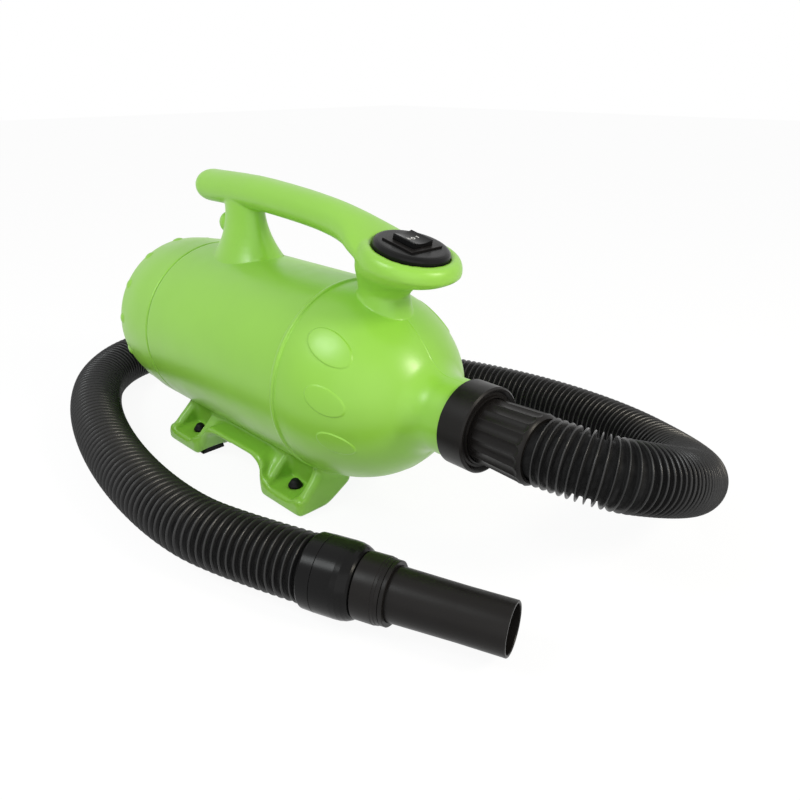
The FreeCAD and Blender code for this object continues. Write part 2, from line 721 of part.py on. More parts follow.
def hose_cuff():
    """Fluted cuff whose spigot snaps into the outlet; the hose end sits in its mouth."""
    back = neck_end_x-cuff_spigot
    socket = hose_root_radius+slip
    widest = cuff_start_x+cuff_length-7.0
    nose = cuff_end_x
    outline = [V(back, 0, cuff_bore), V(back, 0, spigot_radius-0.8), V(back+1.6, 0, spigot_radius),
               V(rim_x-1.6, 0, spigot_radius), V(rim_x-0.4, 0, rim_radius), V(rim_x, 0, rim_radius),
               V(rim_x, 0, spigot_radius), V(cuff_start_x, 0, spigot_radius), V(cuff_start_x, 0, cuff_radius),
               V(widest, 0, cuff_radius+cuff_flare)]
    mouth = [V(nose, 0, cuff_radius-0.4), V(nose, 0, socket), V(hose_start_x, 0, socket),
             V(hose_start_x, 0, cuff_bore), V(back, 0, cuff_bore)]
    edges = []
    for a, b in list(zip(outline, outline[1:]))+list(zip(mouth, mouth[1:])):
        edges.append(Part.LineSegment(a, b).toShape())
    shoulder = Part.Arc(outline[-1], V(widest+4.8, 0, cuff_radius+cuff_flare-0.55), mouth[0]).toShape()
    edges.insert(len(outline)-1, shoulder)
    body = Part.Face(Part.Wire(edges)).revolve(V(0, 0, 0), ALONG, 360)
    body.translate(V(0, 0, axis_height))
    groove_radius = 9.0
    rise = math.degrees(math.atan2(cuff_flare-0.9, cuff_length-7.0))
    lean = V(math.cos(math.radians(rise)), 0, math.sin(math.radians(rise)))
    start = V(cuff_start_x+1.0, 0, axis_height+cuff_radius+groove_radius-0.7)
    flute = Part.makeCylinder(groove_radius, cuff_length-7.0, start, lean)
    tip = Part.makeSphere(groove_radius, start+lean*(cuff_length-7.0))
    flute = flute.fuse(tip)
    for groove in pattern_x(flute, cuff_flutes):
        body = body.cut(groove)
    return body


# Hose

def hose_route():
    """Straight runs joined by tangent arcs along the route; also returns the arcs' radii."""
    points = [V(*p) for p in hose_points]
    points = [V(hose_start_x, 0, axis_height)]+points+[handset_origin-handset_axis*hose_handset_gap]
    edges = []
    radii = []
    start = points[0]
    for before, here, after in zip(points, points[1:], points[2:]):
        u = (here-before).normalize()
        w = (after-here).normalize()
        half_turn = u.getAngle(w)/2
        reach = 0.45*min((here-before).Length, (after-here).Length)
        radius = reach/math.tan(half_turn)
        arc_start, arc_end = here-u*reach, here+w*reach
        inward = (w-u).normalize()
        top = here+inward*(radius/math.cos(half_turn)-radius)
        edges.append(Part.LineSegment(start, arc_start).toShape())
        edges.append(Part.Arc(arc_start, top, arc_end).toShape())
        radii.append(radius)
        start = arc_end
    edges.append(Part.LineSegment(start, points[-1]).toShape())
    return edges, radii


def hose_ring(edges, distance, radius):
    """A circle square to the route at a distance along it, always turned the same way."""
    for edge in edges:
        if distance <= edge.Length+1e-6 or edge is edges[-1]:
            break
        distance -= edge.Length
    place = edge.getParameterByLength(min(distance, edge.Length))
    centre, tangent = edge.valueAt(place), edge.tangentAt(place)
    circle = Part.Circle(centre, tangent, radius)
    circle.XAxis = (UP-tangent*UP.dot(tangent)).normalize()
    return circle.toShape()


def hose():
    """Ribbed stretch hose with its bore, lying round the dryer from the cuff to the handset."""
    edges, radii = hose_route()
    length = sum(edge.Length for edge in edges)
    plain_start = hose_socket+1.0
    plain_end = collar_back-hose_handset_gap+1.0
    pitch = (length-plain_start-plain_end)/hose_ribs
    outer = [hose_ring(edges, 0, hose_root_radius)]
    inner = [hose_ring(edges, 0, hose_bore)]
    for i in range(hose_ribs):
        rib_start = plain_start+i*pitch
        for share, radius in ((0.0, hose_root_radius), (0.3, hose_crest_radius),
                              (0.6, hose_crest_radius), (0.9, hose_root_radius)):
            outer.append(hose_ring(edges, rib_start+share*pitch, radius))
        inner.append(hose_ring(edges, rib_start+0.5*pitch, hose_bore))
    outer.append(hose_ring(edges, length, hose_root_radius))
    inner.append(hose_ring(edges, length, hose_bore))
    bands = [Part.makeRuledSurface(a, b) for a, b in zip(outer, outer[1:])]
    bands += [Part.makeRuledSurface(b, a) for a, b in zip(inner, inner[1:])]
    for rim, hole in ((outer[0], inner[0]), (outer[-1], inner[-1])):
        end = [Part.Wire([rim]), Part.Wire([hole])]
        bands.append(Part.makeFace(end, "Part::FaceMakerBullseye"))
    solid = Part.makeSolid(Part.makeShell(bands))
    print("hose length", round(length), "mm, least radius", round(min(radii)), "mm")
    print("hose radii", [round(r) for r in radii])
    return solid


# Handset, drawn along +X from its own origin and then laid along its heading

def lay_handset(shape):
    shape.rotate(V(0, 0, 0), UP, handset_heading)
    shape.translate(handset_origin)
    return shape


def handset_turned(outline):
    points = [V(x, 0, r) for x, r in outline]
    face = Part.Face(Part.makePolygon(points+[points[0]]))
    return face.revolve(V(0, 0, 0), ALONG, 360)


def hose_end_collar():
    """Ring moulded on the hose end; the swivel cuff turns on it."""
    socket = hose_root_radius+seat
    shape = handset_turned([(-collar_back+0.8, socket), (-collar_back+0.8, socket+1.0),
                            (-9.0, socket+1.0), (-9.0, socket+2.0), (-6.6, socket+2.0), (-6.6, socket+1.0),
                            (-hose_handset_gap, socket+1.0), (-hose_handset_gap, socket)])
    return lay_handset(shape)


def swivel_cuff():
    """Collar and rounded cuff that turn on the hose end collar."""
    inner = hose_root_radius+seat+1.0+slip
    seam = -handset_seam
    outline = [(-collar_back, inner), (-collar_back, collar_radius-1.2), (-collar_back+1.2, collar_radius-0.3),
               (seam-0.3, collar_radius), (seam, collar_radius-0.4), (seam+0.3, collar_radius)]
    low = sleeve_radius-1.0
    for angle in (0, 20, 40, 60, 75, 90):
        x = swivel_end-nose_length*(1-math.sin(math.radians(angle)))
        outline.append((x, low+(collar_radius-low)*math.cos(math.radians(angle))))
    hollow = -hose_handset_gap+slip
    outline += [(swivel_end, adapter_radius), (hollow, adapter_radius), (hollow, inner),
                (-6.6+slip, inner), (-6.6+slip, inner+1.0), (-9.0-slip, inner+1.0), (-9.0-slip, inner)]
    return lay_handset(handset_turned(outline))


def handset_adapter():
    """Sleeve bonded into the swivel cuff; the relief ring turns on it and the tube slides in it."""
    bore = tube_root_radius+slip
    outline = [(0.6, bore-1.6), (0.6, adapter_radius), (tube_step-2.6, adapter_radius),
               (tube_step-2.6, adapter_radius+1.0), (tube_step-0.4, adapter_radius+1.0),
               (tube_step, adapter_radius+0.5), (tube_step, bore), (3.0, bore), (3.0, bore-1.6)]
    body = handset_turned(outline)
    port = Part.makeCylinder(3.6, 30, V(relief_x, 0, 0), UP*-1)
    return lay_handset(body.cut(port))


def relief_ring():
    """Ring round the sleeve that is turned to open or close the slot under it."""
    inner = adapter_radius+slip
    outline = [(swivel_end+0.5, inner), (swivel_end+0.5, sleeve_radius-0.5), (swivel_end+1.0, sleeve_radius),
               (tube_step-8.2, sleeve_radius), (tube_step-7.9, sleeve_radius-0.4),
               (tube_step-6.0, sleeve_radius-0.4), (tube_step-5.7, sleeve_radius-0.8),
               (tube_step-3.2, sleeve_radius-1.0), (tube_step-3.0, sleeve_radius-1.3), (tube_step-3.0, inner)]
    ring = handset_turned(outline)
    slot = Part.makeBox(relief_slot_length, relief_slot_width, 12,
                        V(relief_x-relief_slot_length/2, -relief_slot_width/2, -sleeve_radius-2))
    return lay_handset(ring.cut(slot))


def nozzle_tube():
    """Thin plain tube with a slight taper; it slides in the adapter."""
    tip = tube_step+tube_length
    root = tube_step-tube_engagement
    outline = [(root, tube_root_radius-tube_wall), (root, tube_root_radius-0.5), (root+0.8, tube_root_radius),
               (tube_step+1.0, tube_root_radius), (tip-tube_straight, tube_tip_radius),
               (tip-0.5, tube_tip_radius), (tip, tube_tip_radius-0.5), (tip, tube_tip_radius-tube_wall+0.4),
               (tip-0.6, tube_tip_radius-tube_wall), (tip-tube_straight, tube_tip_radius-tube_wall), (tube_step+1.0, tube_root_radius-tube_wall)]
    return lay_handset(handset_turned(outline))


# Switch

def switch_bezel():
    """Oval plate with a rounded edge, sunk into the switch head."""
    rows = [(-bezel_seat_depth, 0.4), (-bezel_seat_depth+0.6, 0.0), (bezel_height-3.0, 0.0),
            (bezel_height-1.7, 0.6), (bezel_height-0.7, 1.8), (bezel_height-0.15, 3.2), (bezel_height, 4.6)]
    wires = []
    for height, shrink in rows:
        centre = head_centre+head_normal*height
        wires.append(oval_wire(centre, head_along, ACROSS, bezel_half_length-shrink, bezel_half_width-shrink))
    plate = Part.makeLoft(wires, True, True)
    hole = tilted_box(switch_box_length+2*seat, switch_box_width+2*seat, -bezel_seat_depth-1, bezel_height+1)
    return plate.cut(hole)


def rocker_trunnions(reach, length, radius):
    """Two short pins on the rocker's turning axis, pointing inwards from a distance either side."""
    axis_point = head_centre+head_normal*rocker_pivot_height
    pins = []
    for side in (-1, 1):
        pins.append(Part.makeCylinder(radius, length, axis_point+head_along*(side*reach), head_along*-side))
    return pins


def switch_body():
    """Moulded switch housing with a flange on the bezel and a well for the rocker."""
    flange = tilted_box(switch_flange_length, switch_flange_width, bezel_height, bezel_height+flange_height)
    body = tilted_box(switch_box_length, switch_box_width, -switch_box_depth, bezel_height+0.1)
    well = tilted_box(rocker_length+2*slip, rocker_width+2*rocker_gap, well_floor, bezel_height+flange_height+1)
    pins = rocker_trunnions(rocker_length/2+slip+0.2, 1.8, trunnion_radius)
    return fuse_all([flange.fuse(body).cut(well)]+pins)


def rocker():
    """Rocker with a dished top, round flanks about its axis and a socket at each end."""
    half_width = rocker_width/2
    half_length = rocker_length/2
    top = bezel_height+flange_height+rocker_rise
    low = rocker_pivot_height-rocker_swing_radius
    profile = [(-half_width, top), (-half_width+0.8, top+0.4), (0, top-rocker_dish), (half_width-0.8, top+0.4),
               (half_width, top), (half_width, rocker_pivot_height), (half_width*0.55, low), (-half_width*0.55, low),
               (-half_width, rocker_pivot_height)]
    start = head_centre-head_along*half_length
    points = [start+ACROSS*y+head_normal*z for y, z in profile]
    sides = [Part.LineSegment(points[0], points[1]).toShape(),
             Part.Arc(points[1], points[2], points[3]).toShape()]
    for a, b in zip(points[3:], points[4:]+[points[0]]):
        sides.append(Part.LineSegment(a, b).toShape())
    body = Part.Face(Part.Wire(sides)).extrude(head_along*rocker_length)
    for socket in rocker_trunnions(half_length, 2.0, trunnion_radius+shaft_gap):
        body = body.cut(socket)
    return body


def switch_terminals():
    """Three flat blades under the switch."""
    blades = []
    for place in (-7.0, 0.0, 7.0):
        blade = tilted_box(0.8, 6.3, -switch_box_depth-terminal_length, -switch_box_depth)
        blade.translate(head_along*place)
        blades.append(blade)
    return Part.makeCompound(blades)


# Blower inside the barrel

def motor_bulkhead():
    """Round plate with the inlet eye, screwed to the ledge inside the barrel."""
    plate = tube_x(bulkhead_x-bulkhead_thickness, bulkhead_x, cavity_radius-seat-0.3, eye_radius+4)
    plate = plate.fuse(tube_x(bulkhead_x-bulkhead_thickness-5, bulkhead_x, eye_radius+6, eye_radius+4))
    for hole in pattern_x(tube_off_axis(bulkhead_x-bulkhead_thickness, bulkhead_x, screw_circle, 2.1), 4, 45):
        plate = plate.cut(hole)
    return plate.removeSplitter()


def screw_x(head_x_end, shank_length, offset, radius):
    """Pan-head screw parallel to the axis, its head towards the rear."""
    head = tube_off_axis(head_x_end-2.4, head_x_end, offset, radius*1.7)
    shank = tube_off_axis(head_x_end, head_x_end+shank_length, offset, radius)
    return head.fuse(shank)


def bulkhead_screws():
    back = bulkhead_x-bulkhead_thickness
    screw = screw_x(back, bulkhead_thickness+ledge_thickness-0.5, screw_circle, 1.8)
    return Part.makeCompound(pattern_x(screw, 4, 45))


def mount_rear():
    """Rubber ring between the bulkhead and the fan shell."""
    return tube_x(bulkhead_x, shell_rear_x, eye_radius+12, eye_radius+4)


def fan_shell():
    """Pressed drum round the two impellers, with the inlet eye in its rear wall."""
    drum = tube_x(shell_rear_x, shell_front_x, shell_radius, shell_radius-shell_wall)
    back = tube_x(shell_rear_x, shell_rear_x+shell_wall, shell_radius, eye_radius)
    return drum.fuse(back).removeSplitter()


def impeller(x0):
    """Closed wheel: back plate with a hub, curved blades and a front ring round the eye."""
    back = tube_x(x0+blade_height+blade_thickness, x0+blade_height+2*blade_thickness, impeller_radius, shaft_radius)
    hub = tube_x(x0+2.0, x0+blade_height+2*blade_thickness, 11, shaft_radius)
    ring = tube_x(x0, x0+blade_thickness, impeller_radius, eye_radius-2)
    z = axis_height
    start, middle, end = V(x0+0.5, 0, z+18), V(x0+0.5, 9.0, z+36), V(x0+0.5, 27.0, z+impeller_radius-8)
    outer_arc = Part.Arc(start, middle, end).toShape()
    shift = V(0, blade_thickness, 0)
    inner_arc = Part.Arc(end+shift, middle+shift, start+shift).toShape()
    caps = [Part.LineSegment(end, end+shift).toShape(), Part.LineSegment(start+shift, start).toShape()]
    blade = Part.Face(Part.Wire([outer_arc, caps[0], inner_arc, caps[1]])).extrude(V(blade_height+1.0, 0, 0))
    wheel = back.fuse(hub).fuse(ring)
    for vane in pattern_x(blade, impeller_blades):
        wheel = wheel.fuse(vane)
    return wheel.removeSplitter()


def diffuser():
    """Fixed disc between the wheels, with return vanes on its front face."""
    x0 = diffuser_x
    disc = tube_x(x0, x0+1.5, shell_radius-shell_wall-seat, eye_radius-6)
    vane = box(x0+1.5, x0+5.5, -0.8, 0.8, axis_height+eye_radius, axis_height+shell_radius-3)
    vane.rotate(V(x0, 0, axis_height+shell_radius-3), ALONG, 35)
    return disc.fuse(Part.makeCompound(pattern_x(vane, 9))).removeSplitter()


def motor_bracket():
    """Front plate of the fan section with air windows, the rear bearing's seat and three lugs."""
    x0 = shell_front_x
    plate = tube_x(x0, x0+3.0, shell_radius, bearing_radius+seat)
    seat_ring = tube_x(x0, x0+bearing_width+1.0, bearing_radius+4.0, bearing_radius+seat)
    for window in pattern_x(ring_part(x0-1, x0+4, 57, 47, 26), 9):
        plate = plate.cut(window)
    lugs = pattern_x(box(x0+2, stack_start_x, -5, 5, axis_height+stack_radius-6, axis_height+stack_radius-0.4), 2)
    bracket = fuse_all([plate, seat_ring]+lugs)
    for hole in pattern_x(tube_off_axis(x0+3, stack_start_x+1, motor_screw_offset, 1.6), 2):
        bracket = bracket.cut(hole)
    return bracket


def bearing(x0):
    return tube_x(x0, x0+bearing_width, bearing_radius, shaft_radius+shaft_gap)


def stator_core():
    """Two-pole laminated stack: round outside with flats, windows for the coils."""
    stack = tube_x(stack_start_x, stack_start_x+stack_length, stack_radius, stator_bore)
    for side in (-1, 1):
        y0 = min(side*stack_flat, side*(stack_radius+1))
        flat = box(stack_start_x-1, stack_start_x+stack_length+1, y0, y0+stack_radius+1-stack_flat,
                   axis_height-50, axis_height+50)
        stack = stack.cut(flat)
    for angle in (52, 128, 232, 308):
        stack = stack.cut(about_axis(ring_part(stack_start_x-1, stack_start_x+stack_length+1, 34,
                                               stator_bore-1, 22), angle))
    for hole in pattern_x(tube_off_axis(stack_start_x-1, stack_start_x+stack_length+1, motor_screw_offset, 1.6), 2):
        stack = stack.cut(hole)
    return stack


def field_coils():
    """One coil round each pole; the coils bulge from both ends of the stack."""
    coils = []
    x0, x1 = stack_start_x-8.0, stack_start_x+stack_length+8.0
    for angle in (0, 180):
        end_rear = ring_part(x0, stack_start_x-0.2, 33.5, stator_bore+1, 124)
        end_front = ring_part(stack_start_x+stack_length+0.2, x1, 33.5, stator_bore+1, 124)
        legs = [about_axis(ring_part(x0, x1, 33.5, stator_bore+1, 20), side*52) for side in (-1, 1)]
        coils.append(about_axis(fuse_all([end_rear, end_front]+legs), angle))
    return Part.makeCompound(coils)


def motor_shaft():
    return tube_x(shaft_rear_x, shaft_front_x, shaft_radius)


def impeller_nut():
    """Hexagon nut that clamps the rear wheel on the shaft."""
    x1 = impeller_rear_x+2.0
    corners = [V(x1-5.0, 7.5*math.sin(math.radians(60*i)), axis_height+7.5*math.cos(math.radians(60*i)))
               for i in range(6)]
    nut = Part.Face(Part.makePolygon(corners+[corners[0]])).extrude(V(5.0, 0, 0))
    return nut.cut(tube_x(x1-6.0, x1+1.0, shaft_radius))


def armature_core():
    """Slotted armature stack on the shaft."""
    core = tube_x(stack_start_x, stack_start_x+stack_length, armature_radius, shaft_radius)
    slot = box(stack_start_x-1, stack_start_x+stack_length+1, -1.6, 1.6, axis_height+14, axis_height+armature_radius+1)
    for groove in pattern_x(slot, 12):
        core = core.cut(groove)
    return core


def armature_windings():
    """Winding heads at both ends of the armature stack."""
    heads = []
    for x0, x1 in ((stack_start_x-9.0, stack_start_x), (stack_start_x+stack_length, stack_start_x+stack_length+6.0)):
        middle = (x0+x1)/2
        outline = [(x0, shaft_radius), (x0, 17), (middle, 21.5), (x1, 21.5), (x1, shaft_radius)]
        if x0 > 0:
            outline = [(x0, shaft_radius), (x0, 21.5), (middle, 21.5), (x1, 17), (x1, shaft_radius)]
        heads.append(revolve_x(outline))
    return Part.makeCompound(heads)


def commutator():
    """Copper drum with bar gaps."""
    x0 = commutator_x
    drum = tube_x(x0, x0+commutator_length, commutator_radius, shaft_radius)
    gap = box(x0+1.5, x0+commutator_length+1, -0.3, 0.3, axis_height+commutator_radius-1.0,
              axis_height+commutator_radius+1)
    for groove in pattern_x(gap, 12):
        drum = drum.cut(groove)
    return drum


def front_bracket():
    """Bridge over the commutator: legs from the stack, a cross plate and the front bearing's seat."""
    x0 = stack_start_x+stack_length
    plate_x = front_bearing_x-1.0
    seat_ring = tube_x(plate_x, spider_x+spider_thickness, bearing_radius+4.0, bearing_radius+seat)
    plate = box(plate_x, plate_x+4.0, -stack_flat+0.5, stack_flat-0.5, axis_height-14, axis_height+14)
    plate = plate.fuse(box(plate_x, plate_x+4.0, -brush_half-3, brush_half+3, axis_height-34, axis_height+34))
    plate = plate.cut(tube_x(plate_x-1, plate_x+5, bearing_radius+seat))
    legs = []
    for side in (-1, 1):
        y0 = min(side*(stack_flat-0.5), side*(stack_flat-4.5))
        legs.append(box(x0, plate_x+4.0, y0, y0+4.0, axis_height-14, axis_height+14))
    web = box(commutator_x+1, plate_x+1, -brush_half-3, brush_half+3, axis_height-34, axis_height+34)
    keep = tube_x(commutator_x, plate_x+2, 34).cut(tube_x(commutator_x, plate_x+2, commutator_radius+3.5))
    arms = web.common(keep)
    slot = box(commutator_x+1.9, commutator_x+2.1+brush_length, -brush_half-0.1, brush_half+0.1,
               axis_height-36, axis_height+36)
    return fuse_all([seat_ring, plate]+legs+[arms]).cut(slot)


def carbon_brushes():
    brush = box(commutator_x+2, commutator_x+2+brush_length, -brush_half, brush_half,
                axis_height+commutator_radius, axis_height+30)
    face = tube_x(commutator_x, commutator_x+20, commutator_radius+0.05)
    return Part.makeCompound(pattern_x(brush.cut(face), 2))


def mount_front():
    """Rubber boot between the front bearing's seat and the spider."""
    return tube_x(spider_x, spider_x+spider_thickness, bearing_radius+8.0, bearing_radius+4.0)


def front_spider():
    """Ring with three vanes that centres the motor in the barrel."""
    x0 = spider_x
    x1 = x0+spider_thickness
    hub = tube_x(x0, x1, bearing_radius+11.0, bearing_radius+8.0)
    ring = tube_x(x0, x1, cavity_radius-slip, cavity_radius-4.0)
    vane = box(x0, x1, -2, 2, axis_height+bearing_radius+10.0, axis_height+cavity_radius-3.5)
    return fuse_all([hub, ring]+pattern_x(vane, 3, 60))


def foam_liner():
    """Sound-damping foam sleeve round the motor."""
    return tube_x(bulkhead_x+ledge_thickness, spider_x, cavity_radius-slip, cavity_radius-foam_thickness)


def motor_screws():
    """Two long screws that clamp the stack to the fan section's plate."""
    length = stack_length+6.0
    x1 = stack_start_x+stack_length
    screws = []
    for angle in (0, 180):
        head = tube_off_axis(x1, x1+2.4, motor_screw_offset, 2.8)
        shank = tube_off_axis(x1-length, x1, motor_screw_offset, 1.5)
        screws.append(about_axis(head.fuse(shank), angle))
    return Part.makeCompound(screws)


def build_parts():
    """Every node by name."""
    nodes = {
        "housing": housing(), "rear_cover": rear_cover(), "filter_frame": filter_frame(),
        "intake_filter": intake_filter(), "cord_gland": cord_gland(),
        "outlet_ring": outlet_ring(), "outlet_seal": outlet_seal(), "hose_cuff": hose_cuff(),
        "hose": hose(), "hose_end_collar": hose_end_collar(), "swivel_cuff": swivel_cuff(),
        "handset_adapter": handset_adapter(), "relief_ring": relief_ring(), "nozzle_tube": nozzle_tube(),
        "switch_bezel": switch_bezel(), "switch_body": switch_body(), "rocker": rocker(),
        "switch_terminals": switch_terminals(),
        "motor_bulkhead": motor_bulkhead(), "bulkhead_screws": bulkhead_screws(), "mount_rear": mount_rear(),
        "fan_shell": fan_shell(), "impeller_rear": impeller(impeller_rear_x), "diffuser": diffuser(),
        "impeller_front": impeller(impeller_front_x), "impeller_nut": impeller_nut(),
        "motor_bracket": motor_bracket(), "bearing_rear": bearing(shell_front_x), "stator_core": stator_core(),
        "field_coils": field_coils(), "motor_shaft": motor_shaft(), "armature_core": armature_core(),
        "armature_windings": armature_windings(), "commutator": commutator(),
        "front_bracket": front_bracket(), "carbon_brushes": carbon_brushes(),
        "bearing_front": bearing(front_bearing_x), "mount_front": mount_front(),
        "front_spider": front_spider(), "foam_liner": foam_liner(), "motor_screws": motor_screws()}
    for row, x, arch_side in (("rear", -foot_x, 1), ("front", foot_x, -1)):
        pad = foot_pad(x, arch_side)
        nodes["foot_pad_"+row+"_right"] = pad
        nodes["foot_pad_"+row+"_left"] = mirrored(pad)
    return nodes


os.makedirs("parts", exist_ok=True)
for name, shape in build_parts().items():
    shape.exportStep("parts/"+name+".step")
    print(name, shape.isValid(), len(shape.Solids), round(shape.Volume/1000, 1), "cm3")
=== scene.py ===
import json
import math

import bmesh
import bpy
import numpy as np
from mathutils import Matrix, Vector


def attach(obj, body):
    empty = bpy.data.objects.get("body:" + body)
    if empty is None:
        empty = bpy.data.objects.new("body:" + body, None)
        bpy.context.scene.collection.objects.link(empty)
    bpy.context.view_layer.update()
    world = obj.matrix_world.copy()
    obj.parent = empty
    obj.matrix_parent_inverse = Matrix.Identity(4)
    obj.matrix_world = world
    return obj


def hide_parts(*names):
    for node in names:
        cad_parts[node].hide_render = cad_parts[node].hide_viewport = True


# Pet dryer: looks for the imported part, in metres and in the part's own frame. +X runs along the barrel
# towards the outlet, +Z is up, +Y is the far side, and the origin is on the floor between the feet.

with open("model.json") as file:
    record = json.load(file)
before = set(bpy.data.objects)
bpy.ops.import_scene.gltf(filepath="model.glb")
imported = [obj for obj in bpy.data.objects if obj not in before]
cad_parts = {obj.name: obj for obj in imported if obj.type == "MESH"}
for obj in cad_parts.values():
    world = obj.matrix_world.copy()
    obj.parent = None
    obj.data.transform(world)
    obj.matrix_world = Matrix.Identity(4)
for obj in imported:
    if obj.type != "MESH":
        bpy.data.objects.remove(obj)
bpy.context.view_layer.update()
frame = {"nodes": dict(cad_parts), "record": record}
nodes = frame["nodes"]

# Camera, fitted to the photograph
camera_place = Vector((0.51627, -0.36307, 0.32790))
camera_turn = math.radians(45.263)
camera_height_angle = math.radians(23.964)
camera_roll = math.radians(-0.06)
camera_lens = 33.0            # both in mm
camera_sensor = 36.0

# The hose's route, the same points as in the part's source
hose_start = (0.2406, 0, 0.103)
hose_points = [(0.317, 0, 0.103), (0.347, 0.050, 0.0865), (0.340, 0.119, 0.0555), (0.294, 0.181, 0.033),
               (0.220, 0.216, 0.026), (0.125, 0.220, 0.0246), (0.030, 0.197, 0.0246), (-0.066, 0.158, 0.0246),
               (-0.160, 0.127, 0.0246), (-0.239, 0.100, 0.0246), (-0.283, 0.046, 0.0246),
               (-0.280, -0.020, 0.0246), (-0.240, -0.072, 0.0246), (-0.180, -0.107, 0.0246),
               (-0.105, -0.133, 0.0246), (-0.020, -0.150, 0.0246), (0.060, -0.155, 0.025),
               (0.122, -0.1476, 0.0262)]
hose_end = (0.200678, -0.118288, 0.0262)
hose_crest = 0.0240           # radii
hose_trough = 0.0193
hose_end_radius = 0.0203      # plain ends, inside the sockets
hose_inside = 0.0178
hose_sides = 56
hose_bore_rings = 220
hose_first_rib = 0.0405       # distances along the hose
hose_last_rib = 0.0105        # before its end
hose_first_step = 0.001       # from the plain end down to the first trough
hose_last_step = 0.0008       # and up again after the last one
hose_last_room = 0.004        # no rib starts closer than this to that place
hose_start_near = 0.03        # edges closer to the hose's start than this belong to its first end
# Distance along the hose and the pitch of its ribs: closest in the first bend, widest towards the handset
hose_pitches = [(0.0, 0.0054), (0.06, 0.0052), (0.12, 0.0041), (0.19, 0.0040), (0.27, 0.0060),
                (0.95, 0.0060), (1.04, 0.0064), (1.12, 0.0074), (1.30, 0.0075), (1.38, 0.0069),
                (1.43, 0.0062), (1.50, 0.0062)]
# One rib: share of the pitch and of the height, with a narrow crest and a wide trough
rib_profile = [(0.00, 0.00), (0.20, 0.03), (0.31, 0.22), (0.38, 0.72), (0.44, 0.96), (0.50, 1.00),
               (0.56, 0.96), (0.63, 0.72), (0.70, 0.22), (0.82, 0.03)]

# Barrel, seam lip and dome, from the same values as the part's source
axis_height = 0.103
axis_guard = 0.001            # smallest radius that a division by the radius sees
barrel_radius = 0.080
barrel_rear_x = -0.099
barrel_front_x = 0.097
seam_lip = 0.0008
seam_lip_width = 0.005
seam_bulge_end = 0.9          # the lip's bulge is this much of a half wave
seam_groove_start = 0.8       # share of the lip's width
dome_start_x = barrel_front_x+0.001
dome_shoulder_radius = 0.112
dome_shoulder_turn = math.radians(26.0)
dome_nose_radius = 0.090
dome_nose_turn = math.radians(28.7)
neck_radius = 0.0289
oval_rise = 0.0007
oval_edge = 0.0010            # width of the ovals' soft edge
oval_stretch = 1.2            # turns a share of the short half size into a distance, on the mean
# Place along X, degrees above the side, half sizes, and degrees nose down
dome_ovals = [(0.1335, 41.6, 0.0197, 0.0112, 14.6), (0.1421, 11.2, 0.0157, 0.0094, 18.7),
              (0.1479, -17.0, 0.0140, 0.0079, 34.1)]
parting_rise = 0.00022        # the mould's parting line on the dome
parting_start = 0.150
parting_run_out = 0.004
parting_top = 0.0001          # half widths of the line at its top and at its base
parting_base = 0.0007

# Where the housing's mesh is made finer: bands along the seam's lip, the parting line and the ovals' edges
lip_band_back = 0.0015        # the band's middle lies this far behind the seam
lip_band_reach = 0.0042
lip_band_height = 0.002
parting_band_width = 0.0016
parting_band_height = 0.001
oval_band_reach = 0.0013
oval_area_rear = 0.11         # the part of the dome that holds the ovals
oval_area_front = 0.17
oval_area_bottom = 0.05
oval_area_side = 0.03         # from the middle plane
oval_area_radius = 0.055      # from the barrel's axis
shortest_across = 0.0002      # edges that cross a band by less than this stay whole
shortest_oval_edge = 0.0005

# Housing skin: an even mesh, relaxed in its corners
housing_voxel = 0.0012
even_rounds = 3
hollow_rounds = 60
ridge_rounds = 10
foot_ridge_rounds = 18
crease_limit = 0.05           # how sharp a hollow or a ridge is before it is relaxed
corner_height = 0.012         # hollow corners lie closer to the barrel and dome than this
ridge_height = 0.0008         # ridges stand out from them by more than this
inner_depth = 0.001           # points deeper in the wall than this are its inner side
relax_step = 0.6              # share of the way to the neighbours' mean in one round
hollow_spread = 5             # rounds by which the relaxed places are grown and faded
ridge_spread = 1
spread_growth = 1.6           # factor on the neighbours' mean while growing
spread_blur = 0.6             # share of it while fading
under_head_x = 0.08           # the hollow under the switch head lies ahead of this and above the next
under_head_z = 0.15
under_head_share = 0.1        # it is relaxed by this much only
relax_reach = 0.2             # nothing is relaxed past this at the neck
foot_top_z = 0.05
round_near = (0.0005, 0.0010)  # points nearer the true round than the first go all the way back to it
round_start = 0.003           # from the barrel's rear end

# Toes, fuller than the solid's
foot_front_x = 0.0965
toe_forward = 0.0042
toe_forward_start = 0.016     # behind the foot's front
toe_out_front = 0.0012
toe_out_rear = 0.0024
toe_low = (0.020, 0.045)      # heights between which the swelling fades out
toe_side = (0.050, 0.064)     # distances from the middle between which it sets in
toe_middle = 0.008            # nothing moves forward closer to the middle than this

# Front handle post, slimmer at its root than the solid's
front_post_x = 0.138
front_post_root_x = 0.1319
front_post_half_length = 0.0250
front_post_half_width = 0.0218
front_post_length_share = 0.83
front_post_width_cut = 0.19
front_post_reach = (1.05, 1.7)  # in half sizes of the post
front_post_top = (0.174, 0.197)
front_post_root = (0.145, 0.158)
front_post_skin = (0.006, 0.020)  # heights over the dome between which points leave its wall

# Rubber feet: the plug that comes up through the pocket is conical, with a flat tip
foot_centre_x = 0.0755
plug_y = 0.050
plug_base = 0.0126
plug_profile = [(0.0060, 0.0), (0.0061, 0.0006), (0.0059, 0.0014), (0.0051, 0.0022), (0.0048, 0.0030),
                (0.0033, 0.0052), (0.0026, 0.0058), (0.0012, 0.0061)]
plug_sides = 28
pad_sharp_angle = math.radians(35)
merge_distance = 0.000001
cut_tolerance = 0.0000001

